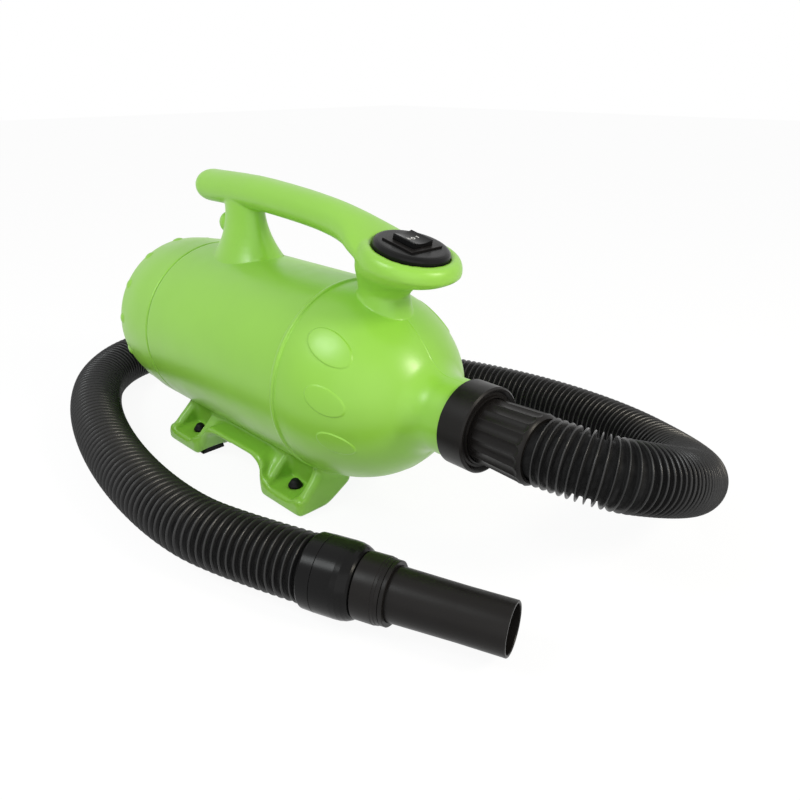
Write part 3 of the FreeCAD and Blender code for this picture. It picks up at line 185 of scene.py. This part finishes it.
# Switch marks: the generic II, O and I of a three-way rocker
head_centre = Vector((0.161, 0, 0.2165))
head_tilt = math.radians(12)
head_normal = Vector((math.sin(head_tilt), 0, math.cos(head_tilt)))
head_along = Vector((math.cos(head_tilt), 0, -math.sin(head_tilt)))
rocker_half_width = 0.00925
rocker_top = 0.0092           # over the switch head's top, at the rocker's long edges
rocker_dish = 0.0010
rocker_rim = 0.0008           # width and extra rise of the rocker's rounded long edges
rocker_rim_rise = 0.0004
mark_rise = 0.00012           # over the rocker's top, and as deep in it
bar_places = (-0.0049, -0.0037, 0.0043)
bar_half_length = 0.0015
bar_half_width = 0.00028
bar_points = 5
circle_radii = (0.0011, 0.0016)
circle_points = 33

# Stage and light
floor_half_size = 6.0
floor_drop = 0.0003
floor_white = 0.88
floor_glow = 1.03
floor_glow_share = 0.90       # the rest of what the camera sees is the lit floor with its shadow
world_strength = 0.47
light_centre = (0.05, 0.1)    # along X and Z, what the lights' turns and rises are measured from


def add_object(name, data):
    obj = bpy.data.objects.new(name, data)
    bpy.context.scene.collection.objects.link(obj)
    return obj


def place_camera():
    data = bpy.data.cameras.new("photo_camera")
    data.lens = camera_lens
    data.sensor_width = camera_sensor
    data.clip_start, data.clip_end = 0.01, 20
    obj = add_object("photo_camera", data)
    flat, rise = math.cos(camera_height_angle), math.sin(camera_height_angle)
    back = Vector((math.sin(camera_turn)*flat, -math.cos(camera_turn)*flat, rise))
    right = Vector((math.cos(camera_turn), math.sin(camera_turn), 0))
    up = back.cross(right)
    turn = Matrix((right, up, back)).transposed() @ Matrix.Rotation(camera_roll, 3, "Z")
    obj.matrix_world = Matrix.Translation(camera_place) @ turn.to_4x4()
    bpy.context.scene.camera = obj


# Materials

def new_material(name):
    material = bpy.data.materials.new(name)
    material.use_nodes = True
    tree = material.node_tree
    return material, tree, tree.nodes["Principled BSDF"]


def link(tree, a, b):
    tree.links.new(a, b)


def noise(tree, scale, detail=2.0, roughness=0.5):
    node = tree.nodes.new("ShaderNodeTexNoise")
    node.inputs["Scale"].default_value = scale
    node.inputs["Detail"].default_value = detail
    node.inputs["Roughness"].default_value = roughness
    place = tree.nodes.new("ShaderNodeTexCoord").outputs["Object"]
    link(tree, place, node.inputs["Vector"])
    return node.outputs["Fac"]


def spread(tree, value, low, high):
    """Stretches a value to a range; noise keeps mostly between 0.3 and 0.7."""
    node = tree.nodes.new("ShaderNodeMapRange")
    node.inputs["From Min"].default_value = 0.3
    node.inputs["From Max"].default_value = 0.7
    node.inputs["To Min"].default_value = low
    node.inputs["To Max"].default_value = high
    link(tree, value, node.inputs["Value"])
    return node.outputs["Result"]


def ramp(tree, value, stops):
    node = tree.nodes.new("ShaderNodeValToRGB")
    elements = node.color_ramp.elements
    while len(elements) < len(stops):
        elements.new(0.5)
    for element, (place, colour) in zip(elements, stops):
        element.position = place
        element.color = (*colour, 1.0)
    link(tree, value, node.inputs["Fac"])
    return node.outputs["Color"]


def math_node(tree, operation, a, b):
    node = tree.nodes.new("ShaderNodeMath")
    node.operation = operation
    link(tree, a, node.inputs[0])
    link(tree, b, node.inputs[1])
    return node.outputs[0]


def mix_shaders(tree, share, a, b):
    node = tree.nodes.new("ShaderNodeMixShader")
    link(tree, share, node.inputs["Fac"])
    link(tree, a, node.inputs[1])
    link(tree, b, node.inputs[2])
    return node.outputs[0]


def bump(tree, shader, height, distance):
    node = tree.nodes.new("ShaderNodeBump")
    node.inputs["Strength"].default_value = 1.0
    node.inputs["Distance"].default_value = distance
    link(tree, height, node.inputs["Height"])
    link(tree, node.outputs["Normal"], shader.inputs["Normal"])


def plastic(name, colour, rough, grain, grain_height, change=0.06, specular=0.5):
    """Moulded plastic: a base colour with faint cloudiness, and a fine moulded grain."""
    material, tree, shader = new_material(name)
    dark = tuple(c*(1-change) for c in colour)
    light = tuple(min(1.0, c*(1+change)) for c in colour)
    cloud = noise(tree, 14.0, 3.0, 0.6)
    link(tree, ramp(tree, cloud, [(0.3, dark), (0.7, light)]), shader.inputs["Base Color"])
    link(tree, spread(tree, noise(tree, 60.0), rough*0.9, rough*1.12), shader.inputs["Roughness"])
    shader.inputs["Specular IOR Level"].default_value = specular
    bump(tree, shader, noise(tree, grain), grain_height)
    return material


def ribbed_plastic(name, crest, trough, rough):
    """Hose plastic: crests painted paler as a painted highlight and troughs painted near black as painted
    shade, with the crests smoother and the troughs rougher.
    """
    material, tree, shader = new_material(name)
    attribute = tree.nodes.new("ShaderNodeAttribute")
    attribute.attribute_name = "rib_height"
    height = attribute.outputs["Fac"]
    # painted highlight on the crests and painted shade in the troughs, set by the rib height
    link(tree, ramp(tree, height, [(0.25, trough), (0.95, crest)]), shader.inputs["Base Color"])
    wear = spread(tree, height, 2.6, 1.0)
    scuffs = spread(tree, noise(tree, 90.0, 3.0), rough*0.8, rough*1.25)
    link(tree, math_node(tree, "MULTIPLY", wear, scuffs), shader.inputs["Roughness"])
    shader.inputs["Specular IOR Level"].default_value = 0.34
    bump(tree, shader, noise(tree, 1400.0), 0.00003)
    return material


def metal(name, colour, rough, grain):
    """Bare metal with fine turning or rolling marks."""
    material, tree, shader = new_material(name)
    shader.inputs["Metallic"].default_value = 1.0
    dark = tuple(c*0.82 for c in colour)
    fine = noise(tree, grain, 4.0, 0.7)
    link(tree, ramp(tree, fine, [(0.25, dark), (0.75, colour)]), shader.inputs["Base Color"])
    link(tree, spread(tree, noise(tree, grain*0.5), rough*0.8, rough*1.25), shader.inputs["Roughness"])
    bump(tree, shader, fine, 0.00002)
    return material


# Plastics: colour, roughness, grain's scale and height, cloudiness, gloss level
materials = {
    "housing_green": plastic("housing_green", (0.262, 0.560, 0.056), 0.33, 900.0, 0.00002, 0.03, 0.5),
    "black_plastic": plastic("black_plastic", (0.0075, 0.0066, 0.0062), 0.36, 1500.0, 0.00003, 0.15, 0.16),
    "gloss_black": plastic("gloss_black", (0.0058, 0.0058, 0.0060), 0.24, 300.0, 0.00001, 0.10, 0.12),
    "hose_black": ribbed_plastic("hose_black", (0.017, 0.017, 0.0175), (0.0008, 0.0008, 0.0009), 0.30),
    "black_rubber": plastic("black_rubber", (0.007, 0.007, 0.0075), 0.5, 1100.0, 0.00005, 0.2, 0.15),
    "mark_white": plastic("mark_white", (0.80, 0.80, 0.78), 0.5, 900.0, 0.00002, 0.04),
    "foam_grey": plastic("foam_grey", (0.10, 0.10, 0.11), 0.9, 500.0, 0.0006, 0.4, 0.1),
    "steel": metal("steel", (0.62, 0.62, 0.61), 0.32, 700.0),
    "zinc_steel": metal("zinc_steel", (0.60, 0.61, 0.64), 0.28, 500.0),
    "laminations": metal("laminations", (0.22, 0.22, 0.23), 0.5, 900.0),
    "copper": metal("copper", (0.78, 0.36, 0.20), 0.3, 800.0),
    "aluminium": metal("aluminium", (0.80, 0.81, 0.82), 0.34, 500.0),
    "cream_moulding": plastic("cream_moulding", (0.60, 0.57, 0.47), 0.5, 900.0, 0.00003, 0.05),
    "carbon": plastic("carbon", (0.04, 0.04, 0.045), 0.6, 1500.0, 0.00005, 0.2),
}


def dress_nodes():
    for part in frame["record"]["subparts"]:
        mesh = nodes[part["node"]].data
        mesh.materials.clear()
        mesh.materials.append(materials[part["material_slot"]])


# Hose

def route_line():
    """The hose's smooth centreline as closely spaced points."""
    curve = bpy.data.curves.new("hose_route", "CURVE")
    curve.dimensions = "3D"
    curve.resolution_u = 40
    spline = curve.splines.new("NURBS")
    route = [hose_start]+hose_points+[hose_end]
    spline.points.add(len(route)-1)
    for point, place in zip(spline.points, route):
        point.co = (*place, 1.0)
    spline.order_u = 3
    spline.use_endpoint_u = True
    holder = add_object("hose_route", curve)
    bpy.context.view_layer.update()
    mesh = bpy.data.meshes.new_from_object(holder)
    points = np.array([v.co for v in mesh.vertices])
    bpy.data.objects.remove(holder)
    bpy.data.meshes.remove(mesh)
    return points


def along(points, distances):
    """Points at the given distances along a line of points, and the line's length."""
    steps = np.linalg.norm(np.diff(points, axis=0), axis=1)
    run = np.concatenate([[0], np.cumsum(steps)])
    return np.stack([np.interp(distances, run, points[:, k]) for k in range(3)], axis=1), run[-1]


def sweep(name, points, radii, sides):
    """A tube of rings along the points, one radius for each."""
    tangents = np.gradient(points, axis=0)
    tangents /= np.linalg.norm(tangents, axis=1)[:, None]
    up = np.array([0, 0, 1.0])
    tops = up-tangents*(tangents @ up)[:, None]
    tops /= np.linalg.norm(tops, axis=1)[:, None]
    sideways = np.cross(tangents, tops)
    angles = np.linspace(0, 2*math.pi, sides, endpoint=False)
    ring = np.cos(angles)[None, :, None]*tops[:, None]+np.sin(angles)[None, :, None]*sideways[:, None]
    places = points[:, None]+ring*np.asarray(radii)[:, None, None]
    row, column = np.meshgrid(np.arange(len(points)-1), np.arange(sides), indexing="ij")
    after = (column+1) % sides
    corners = (row*sides+column, row*sides+after, (row+1)*sides+after, (row+1)*sides+column)
    faces = np.stack(corners, axis=2).reshape(-1, 4)
    mesh = bpy.data.meshes.new(name)
    mesh.from_pydata(places.reshape(-1, 3).tolist(), [], faces.tolist())
    mesh.update()
    return add_object(name, mesh)


def rib_rings(length):
    """Distances along the hose and radii of its outside: plain end, ribs, plain end."""
    lengths, pitches = zip(*hose_pitches)
    distances = [0.0, hose_first_rib-2*hose_first_step, hose_first_rib-hose_first_step]
    radii = [hose_end_radius, hose_end_radius, hose_trough]
    place = hose_first_rib
    while place < length-hose_last_rib-hose_last_room:
        pitch = float(np.interp(place, lengths, pitches))
        for share, height in rib_profile:
            distances.append(place+share*pitch)
            radii.append(hose_trough+(hose_crest-hose_trough)*height)
        place += pitch
    distances += [place, place+hose_last_step, length]
    radii += [hose_trough, hose_end_radius, hose_end_radius]
    return distances, radii


def make_hose():
    """Thin narrow ribs on a limp wall, with the bore inside and plain ends."""
    line = route_line()
    length = along(line, [0])[1]
    distances, radii = rib_rings(length)
    bore = np.linspace(length, 0, hose_bore_rings)
    bore_radii = [hose_inside]*hose_bore_rings
    # The rings' directions are found along the whole line, out and back, and then parted
    points = along(line, distances+list(bore))[0]
    outer = sweep("hose_outside", points[:len(radii)], radii, hose_sides)
    inner = sweep("hose_inside", points[len(radii):], bore_radii, hose_sides)
    mesh = join(outer, inner, "hose_ribbed")
    mark_ribs(mesh.data, radii+bore_radii)
    mesh.data.materials.append(materials["hose_black"])
    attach(mesh, "dryer")
    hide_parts("hose")


def mark_ribs(mesh, radii):
    """Stores each point's share of the rib height for the material; the radii are in the points' order."""
    share = (np.array(radii)-hose_trough)/(hose_crest-hose_trough)
    attribute = mesh.attributes.new("rib_height", "FLOAT", "POINT")
    attribute.data.foreach_set("value", np.repeat(np.clip(share, 0, 1), hose_sides))


def join(outer, inner, name):
    """One object from two tubes, one inside the other, with both ends closed between them."""
    work = bmesh.new()
    work.from_mesh(outer.data)
    work.from_mesh(inner.data)
    bmesh.ops.bridge_loops(work, edges=[e for e in open_edges(work) if near_hose_start(e)])
    bmesh.ops.bridge_loops(work, edges=open_edges(work))
    bmesh.ops.recalc_face_normals(work, faces=work.faces)
    mesh = bpy.data.meshes.new(name)
    work.to_mesh(mesh)
    work.free()
    mesh.shade_smooth()
    for old in (outer, inner):
        bpy.data.objects.remove(old)
    return add_object(name, mesh)


def open_edges(work):
    return [e for e in work.edges if e.is_boundary]


def near_hose_start(edge):
    middle = (edge.verts[0].co+edge.verts[1].co)/2
    return (middle-Vector(hose_start)).length < hose_start_near


# Mesh tools

def vertex_values(mesh, name):
    values = np.empty(len(mesh.vertices)*3)
    mesh.vertices.foreach_get(name, values)
    return values.reshape(-1, 3)


def set_points(mesh, points):
    mesh.vertices.foreach_set("co", points.reshape(-1))
    mesh.update()


def get_edges(mesh):
    edges = np.empty(len(mesh.edges)*2, dtype=np.int64)
    mesh.edges.foreach_get("vertices", edges)
    return edges.reshape(-1, 2)


def get_valence(edges, count):
    return np.bincount(edges.reshape(-1), minlength=count).astype(float)


def neighbour_mean(values, edges, valence):
    """Mean of the neighbours' values at each vertex."""
    a, b = edges[:, 0], edges[:, 1]
    columns = []
    for k in range(values.shape[1]):
        total = np.bincount(a, weights=values[b, k], minlength=len(values))
        total += np.bincount(b, weights=values[a, k], minlength=len(values))
        columns.append(total/valence)
    return np.stack(columns, axis=1)


def relax(points, edges, weights, rounds):
    """Laplacian smoothing, each vertex by its own weight."""
    valence = get_valence(edges, len(points))
    share = weights[:, None]*relax_step
    for _ in range(rounds):
        points = points+(neighbour_mean(points, edges, valence)-points)*share
    return points


def spread_out(marked, edges, rounds):
    """A mark on some vertices, grown to their surroundings and faded at its border."""
    valence = get_valence(edges, len(marked))
    values = marked.astype(float)[:, None]
    for _ in range(rounds):
        values = np.maximum(values, neighbour_mean(values, edges, valence)*spread_growth)
        values = np.minimum(values, 1)
    for _ in range(rounds):
        values = values*(1-spread_blur)+neighbour_mean(values, edges, valence)*spread_blur
    return values[:, 0]


def creases(mesh, points, edges):
    """How hollow (above 0) or ridged (below 0) the surface is at each vertex."""
    pull = neighbour_mean(points, edges, get_valence(edges, len(points)))-points
    return (pull*vertex_values(mesh, "normal")).sum(axis=1)/housing_voxel


def fade(values, low, high):
    """0 at low, 1 at high, smooth between."""
    t = np.clip((values-low)/(high-low), 0, 1)
    return t*t*(3-2*t)


def split_edges(mesh, chooser):
    """Finer faces where fine forms are, by halving the chosen edges twice."""
    work = bmesh.new()
    work.from_mesh(mesh)
    for _ in range(2):
        edges = list(work.edges)
        ends = np.array([(*edge.verts[0].co, *edge.verts[1].co) for edge in edges])
        chosen = chooser((ends[:, :3]+ends[:, 3:])/2, ends[:, 3:]-ends[:, :3])
        chosen_edges = [edges[k] for k in np.flatnonzero(chosen)]
        bmesh.ops.subdivide_edges(work, edges=chosen_edges, cuts=1, use_grid_fill=True)
    work.to_mesh(mesh)
    work.free()


# The round skin of barrel, dome and neck, which the housing's points are measured from

def from_axis(points):
    """Distance from the barrel's axis."""
    return np.hypot(points[:, 1], points[:, 2]-axis_height)


def skin_offset(x, radius):
    """Height over the barrel, dome and neck flare, and the way out of them in X and radius."""
    turn = dome_shoulder_turn+dome_nose_turn
    shoulder = np.array([dome_start_x, barrel_radius-seam_lip])-np.array([0, dome_shoulder_radius])
    shoulder_way = np.array([math.sin(dome_shoulder_turn), math.cos(dome_shoulder_turn)])
    shoulder_end = shoulder[0]+shoulder_way[0]*dome_shoulder_radius
    nose = shoulder+shoulder_way*(dome_shoulder_radius-dome_nose_radius)
    nose_way = np.array([math.sin(turn), math.cos(turn)])
    nose_end = nose+nose_way*dome_nose_radius
    flare_radius = (nose_end[1]-neck_radius)/(1-math.cos(turn))
    flare = nose_end+nose_way*flare_radius
    # Centre, radius, 1 for a bulge or -1 for a hollow, and where the arc starts and ends
    arcs = [(shoulder, dome_shoulder_radius, 1, dome_start_x, shoulder_end),
            (nose, dome_nose_radius, 1, shoulder_end, nose_end[0]),
            (flare, flare_radius, -1, nose_end[0], flare[0])]
    place = np.stack([x, radius], axis=1)
    height = radius-barrel_radius
    way = np.tile([0.0, 1.0], (len(x), 1))
    lip = (x > barrel_front_x-seam_lip_width) & (x < dome_start_x)
    height[lip] = radius[lip]-barrel_radius-lip_height(x[lip])
    for centre, reach, sign, low, high in arcs:
        inside = (x >= low) & (x < high)
        arm = place[inside]-centre
        far = np.linalg.norm(arm, axis=1)
        height[inside] = sign*(far-reach)
        way[inside] = sign*arm/far[:, None]
    neck = x >= flare[0]
    height[neck] = radius[neck]-neck_radius
    return height, way


def lip_height(x):
    """Height of the rounded lip at the seam, which ends in a fine groove before the dome."""
    share = (x-(barrel_front_x-seam_lip_width))/seam_lip_width
    bulge = seam_lip*np.sin(math.pi*np.clip(share*seam_bulge_end, 0, 1))
    groove = fade(share, seam_groove_start, 1.0)
    return np.where(share > seam_groove_start, bulge*(1-groove)-seam_lip*groove, bulge)


def oval_inward(points):
    """Distance inside the outline of the nearest raised oval on the dome, three on each side."""
    inward = np.full(len(points), -1.0)
    for x, angle, half_length, half_width, turn in dome_ovals:
        angle, turn = math.radians(angle), math.radians(turn)
        lean, rest = math.sin(turn), math.cos(turn)
        for side in (-1, 1):
            up_side = np.array([0, side*-math.sin(angle), math.cos(angle)])
            out = np.array([0, side*math.cos(angle), math.sin(angle)])
            arm = points-np.array([x, 0, axis_height])
            ahead = arm[:, 0]*rest-(arm @ up_side)*lean
            across = (arm @ up_side)*rest+arm[:, 0]*lean
            away = np.sqrt((ahead/half_length)**2+(across/half_width)**2)
            depth = (1-away)*half_width*oval_stretch
            inward = np.maximum(inward, np.where(arm @ out > 0, depth, -1.0))
    return inward


def oval_height(points):
    return oval_rise*fade(oval_inward(points), -oval_edge/2, oval_edge/2)


def parting_height(points):
    """Height of the mould's fine parting line, over the dome's top and under its belly."""
    x, y, _ = points.T
    ridge = 1-fade(np.abs(y), parting_top, parting_base)
    return parting_rise*ridge*fade(x, parting_start, parting_start+parting_run_out)


def push(points, way, distance):
    """Points moved out from the axis along the skin's outward direction."""
    radius = from_axis(points)
    grow = (radius+way[:, 1]*distance)/np.maximum(radius, axis_guard)
    return np.stack([points[:, 0]+way[:, 0]*distance, points[:, 1]*grow,
                     axis_height+(points[:, 2]-axis_height)*grow], axis=1)


def at_seam_lip(middles, ways):
    near = np.abs(middles[:, 0]-barrel_front_x+lip_band_back) <= lip_band_reach
    across = np.abs(ways[:, 0]) >= shortest_across
    return near & across & (np.abs(from_axis(middles)-barrel_radius) < lip_band_height)


def at_parting_line(middles, ways):
    height, _ = skin_offset(middles[:, 0], from_axis(middles))
    on_line = (np.abs(middles[:, 1]) < parting_band_width) & (middles[:, 0] > parting_start)
    return on_line & (np.abs(height) < parting_band_height) & (np.abs(ways[:, 1]) > shortest_across)


def at_oval_edge(middles, ways):
    x, y, z = middles.T
    area = (x > oval_area_rear) & (x < oval_area_front) & (z > oval_area_bottom)
    area = area & (np.abs(y) > oval_area_side) & (from_axis(middles) > oval_area_radius)
    long = np.linalg.norm(ways, axis=1) > shortest_oval_edge
    return area & long & (np.abs(oval_inward(middles)) < oval_band_reach)


# Housing: one smooth blow-moulded skin

def remeshed(name, node, voxel):
    """Closed, evenly meshed copy of a CAD node."""
    obj = add_object(name+"_source", nodes[node].data.copy())
    modifier = obj.modifiers.new("even_mesh", "REMESH")
    modifier.mode = "VOXEL"
    modifier.voxel_size = voxel
    bpy.context.view_layer.update()
    mesh = bpy.data.meshes.new_from_object(obj.evaluated_get(bpy.context.evaluated_depsgraph_get()))
    mesh.name = name
    bpy.data.objects.remove(obj)
    return add_object(name, mesh)


def make_housing():
    obj = remeshed("housing_shell", "housing", housing_voxel)
    mesh = obj.data
    for chooser in (at_seam_lip, at_parting_line, at_oval_edge):
        split_edges(mesh, chooser)
    edges = get_edges(mesh)
    points = vertex_values(mesh, "co")
    points = relax(points, edges, np.ones(len(points)), even_rounds)
    set_points(mesh, points)
    points = soften_corners(mesh, points, edges)
    points = slim_post(swell_feet(points))
    set_points(mesh, back_to_round(points))
    mesh.shade_smooth()
    mesh.materials.clear()
    mesh.materials.append(materials["housing_green"])
    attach(obj, "dryer")
    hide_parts("housing")


def soften_corners(mesh, points, edges):
    """Wide soft hollows where posts and feet meet the body, and rounded ridges."""
    bend = creases(mesh, points, edges)
    height, _ = skin_offset(points[:, 0], from_axis(points))
    outside = height > -inner_depth
    hollow = spread_out((bend > crease_limit) & outside & (height < corner_height), edges, hollow_spread)
    ridge = spread_out((bend < -crease_limit) & outside & (height > ridge_height), edges, ridge_spread)
    body = (np.abs(points[:, 0]) < relax_reach).astype(float)
    under_head = (points[:, 0] > under_head_x) & (points[:, 2] > under_head_z) & (height < corner_height)
    hollow_share = hollow*body*np.where(under_head, under_head_share, 1.0)
    points = relax(points, edges, hollow_share, hollow_rounds)
    points = relax(points, edges, ridge*body, ridge_rounds)
    return relax(points, edges, ridge*body*(points[:, 2] < foot_top_z), foot_ridge_rounds)


def swell_feet(points):
    """Fuller toes: the front pair reach further forward, and all four further out."""
    x, y, z = points.T
    low = 1-fade(z, *toe_low)
    out = fade(np.abs(y), *toe_side)
    forward = fade(x, foot_front_x-toe_forward_start, foot_front_x)*toe_forward
    outward = np.where(x > 0, toe_out_front, toe_out_rear)*out
    moved = points.copy()
    moved[:, 0] += forward*low*(np.abs(y) > toe_middle)
    moved[:, 1] += np.sign(y)*outward*low
    return moved


def slim_post(points):
    """The switch head's post is slimmer at its root and flares up to the head."""
    x, y, z = points.T
    reach = np.hypot((x-front_post_x)/front_post_half_length, y/front_post_half_width)
    share = (1-fade(reach, *front_post_reach))*(1-fade(z, *front_post_top))*fade(z, *front_post_root)
    moved = points.copy()
    moved[:, 0] += share*(front_post_root_x+(x-front_post_x)*front_post_length_share-x)
    moved[:, 1] -= share*front_post_width_cut*y
    # What lay on or in the dome's wall keeps its height over the dome
    before, _ = skin_offset(x, from_axis(points))
    after, way = skin_offset(moved[:, 0], from_axis(moved))
    return push(moved, way, (before-after)*(1-fade(before, *front_post_skin))*(share > 0))


def back_to_round(points):
    """The barrel, seam and dome go back to their exact round, with the raised ovals on it."""
    height, way = skin_offset(points[:, 0], from_axis(points))
    rise = oval_height(points)+parting_height(points)
    near = 1-fade(np.abs(height-rise), *round_near)
    shift = (rise-height)*near*(points[:, 0] > barrel_rear_x+round_start)
    return push(points, way, shift)


# Rubber feet

def lathe_up(work, x, y, base, profile, sides):
    """Rings about an upright axis, closed at both ends."""
    rings = []
    for radius, height in profile:
        ring = []
        for k in range(sides):
            angle = 2*math.pi*k/sides
            ring.append(work.verts.new((x+radius*math.cos(angle), y+radius*math.sin(angle), base+height)))
        rings.append(ring)
    for low, high in zip(rings, rings[1:]):
        for k in range(sides):
            after = (k+1) % sides
            work.faces.new((low[k], low[after], high[after], high[k]))
    work.faces.new(rings[0][::-1])
    work.faces.new(rings[-1])


def pad_mesh(node, x, y):
    """The CAD pad cut off under its round bulb, with the conical plug in the bulb's place."""
    work = bmesh.new()
    work.from_mesh(nodes[node].data)
    bmesh.ops.remove_doubles(work, verts=work.verts, dist=merge_distance)
    bmesh.ops.bisect_plane(work, geom=work.verts[:]+work.edges[:]+work.faces[:], dist=cut_tolerance,
                           plane_co=(0, 0, plug_base), plane_no=(0, 0, 1), clear_outer=True)
    bmesh.ops.holes_fill(work, edges=open_edges(work))
    lathe_up(work, x, y, plug_base, plug_profile, plug_sides)
    bmesh.ops.recalc_face_normals(work, faces=work.faces)
    mesh = bpy.data.meshes.new(node+"_rubber")
    work.to_mesh(mesh)
    work.free()
    mesh.materials.append(materials["black_rubber"])
    mesh.shade_smooth()
    mesh.set_sharp_from_angle(angle=pad_sharp_angle)
    return mesh


def make_pads():
    for row, way in (("rear", -1), ("front", 1)):
        for name, side in (("right", -1), ("left", 1)):
            node = "foot_pad_%s_%s" % (row, name)
            obj = add_object(node+"_rubber", pad_mesh(node, way*foot_centre_x, side*plug_y))
            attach(obj, "dryer")
            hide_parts(node)


# Switch marks

def rocker_surface(along_way, across):
    """A point on the rocker's dished top."""
    reach = rocker_half_width-rocker_rim
    height = rocker_top-rocker_dish+(rocker_dish+rocker_rim_rise)*(across/reach)**2
    return head_centre+head_along*along_way+Vector((0, across, 0))+head_normal*height


def add_mark(work, outline_rows):
    """Closed thin plate between two rows of points (along, across) laid on the rocker."""
    grid = []
    for lift in (-mark_rise, mark_rise):
        rows = []
        for row in outline_rows:
            rows.append([work.verts.new(rocker_surface(a, b)+head_normal*lift) for a, b in row])
        grid.append(rows)
    low, high = grid
    count = len(outline_rows[0])
    for k in range(count-1):
        work.faces.new((high[0][k], high[0][k+1], high[1][k+1], high[1][k]))
        work.faces.new((low[0][k], low[1][k], low[1][k+1], low[0][k+1]))
        work.faces.new((low[0][k], low[0][k+1], high[0][k+1], high[0][k]))
        work.faces.new((low[1][k+1], low[1][k], high[1][k], high[1][k+1]))
    is_ring = outline_rows[0][0] == outline_rows[0][-1]
    if not is_ring:
        for k in (0, count-1):
            work.faces.new((low[0][k], high[0][k], high[1][k], low[1][k]))


def bar_rows(across):
    rows = []
    steps = np.linspace(-bar_half_length, bar_half_length, bar_points)
    for side in (-1, 1):
        rows.append([(a, across+side*bar_half_width) for a in steps])
    return rows


def circle_rows():
    rows = []
    angles = np.linspace(0, 2*math.pi, circle_points)
    for radius in circle_radii:
        ring = [(radius*math.cos(a), radius*math.sin(a)) for a in angles]
        ring[-1] = ring[0]
        rows.append(ring)
    return rows


def make_marks():
    work = bmesh.new()
    for across in bar_places:
        add_mark(work, bar_rows(across))
    add_mark(work, circle_rows())
    bmesh.ops.remove_doubles(work, verts=work.verts, dist=merge_distance)
    bmesh.ops.recalc_face_normals(work, faces=work.faces)
    mesh = bpy.data.meshes.new("rocker_marks")
    work.to_mesh(mesh)
    work.free()
    mesh.materials.append(materials["mark_white"])
    obj = add_object("rocker_marks", mesh)
    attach(obj, "rocker")


# Stage and light

def seen_ray(tree):
    """1 for rays from the camera, a gloss or a glass, and 0 for those that light other surfaces."""
    path = tree.nodes.new("ShaderNodeLightPath")
    total = path.outputs["Is Camera Ray"]
    for name in ("Is Glossy Ray", "Is Transmission Ray"):
        total = math_node(tree, "MAXIMUM", total, path.outputs[name])
    return total


def make_stage():
    """A pale floor that glows white in view and keeps the object's shadow."""
    half = floor_half_size
    mesh = bpy.data.meshes.new("studio_floor")
    corners = [(-half, -half, 0), (half, -half, 0), (half, half, 0), (-half, half, 0)]
    mesh.from_pydata(corners, [], [(0, 1, 2, 3)])
    floor = add_object("studio_floor", mesh)
    floor.location.z = -floor_drop
    material, tree, shader = new_material("studio_floor")
    shader.inputs["Base Color"].default_value = (floor_white, floor_white, floor_white, 1)
    shader.inputs["Roughness"].default_value = 0.9
    glow = tree.nodes.new("ShaderNodeEmission")
    glow.inputs["Strength"].default_value = floor_glow
    share = tree.nodes.new("ShaderNodeMath")
    share.operation = "MULTIPLY"
    share.inputs[1].default_value = floor_glow_share
    link(tree, seen_ray(tree), share.inputs[0])
    surface = mix_shaders(tree, share.outputs[0], shader.outputs[0], glow.outputs[0])
    link(tree, surface, tree.nodes["Material Output"].inputs["Surface"])
    mesh.materials.append(material)


def make_world():
    """White in view, and a softer even light on the object."""
    world = bpy.data.worlds.new("studio")
    bpy.context.scene.world = world
    world.use_nodes = True
    tree = world.node_tree
    light = tree.nodes["Background"]
    seen = tree.nodes.new("ShaderNodeBackground")
    for node, strength in ((light, world_strength), (seen, 1.0)):
        node.inputs["Color"].default_value = (1, 1, 1, 1)
        node.inputs["Strength"].default_value = strength
    sky = mix_shaders(tree, seen_ray(tree), light.outputs[0], seen.outputs[0])
    link(tree, sky, tree.nodes["World Output"].inputs["Surface"])


def area_light(name, place, target, size, power, colour):
    data = bpy.data.lights.new(name, "AREA")
    data.shape = "DISK"
    data.size = size
    data.energy = power
    data.color = colour
    obj = add_object(name, data)
    obj.location = place
    obj.rotation_euler = (Vector(target)-Vector(place)).to_track_quat("-Z", "Y").to_euler()


def aim(turn, rise, distance):
    """A place seen from the object at this compass turn and rise, in degrees."""
    turn, rise = math.radians(turn), math.radians(rise)
    centre_x, centre_z = light_centre
    return (centre_x+distance*math.cos(rise)*math.cos(turn), distance*math.cos(rise)*math.sin(turn),
            centre_z+distance*math.sin(rise))


def make_lights():
    """A high lamp over the near side, a warmer one before the dome, and a wide soft one by the camera."""
    area_light("key", aim(-103, 49, 1.3), (0, 0, 0.1), 0.42, 5.5, (0.96, 1.0, 1.0))
    area_light("front", aim(14, 33, 1.5), (0.1, 0, 0.1), 0.36, 10.0, (1.0, 0.93, 0.78))
    area_light("fill", aim(-50, 15, 1.4), (0, 0, 0.08), 1.7, 5.5, (1.0, 1.0, 1.0))


place_camera()
make_hose()
dress_nodes()
make_housing()
make_marks()
make_pads()
make_stage()
make_world()
make_lights()
bpy.context.scene.view_settings.view_transform = "Standard"
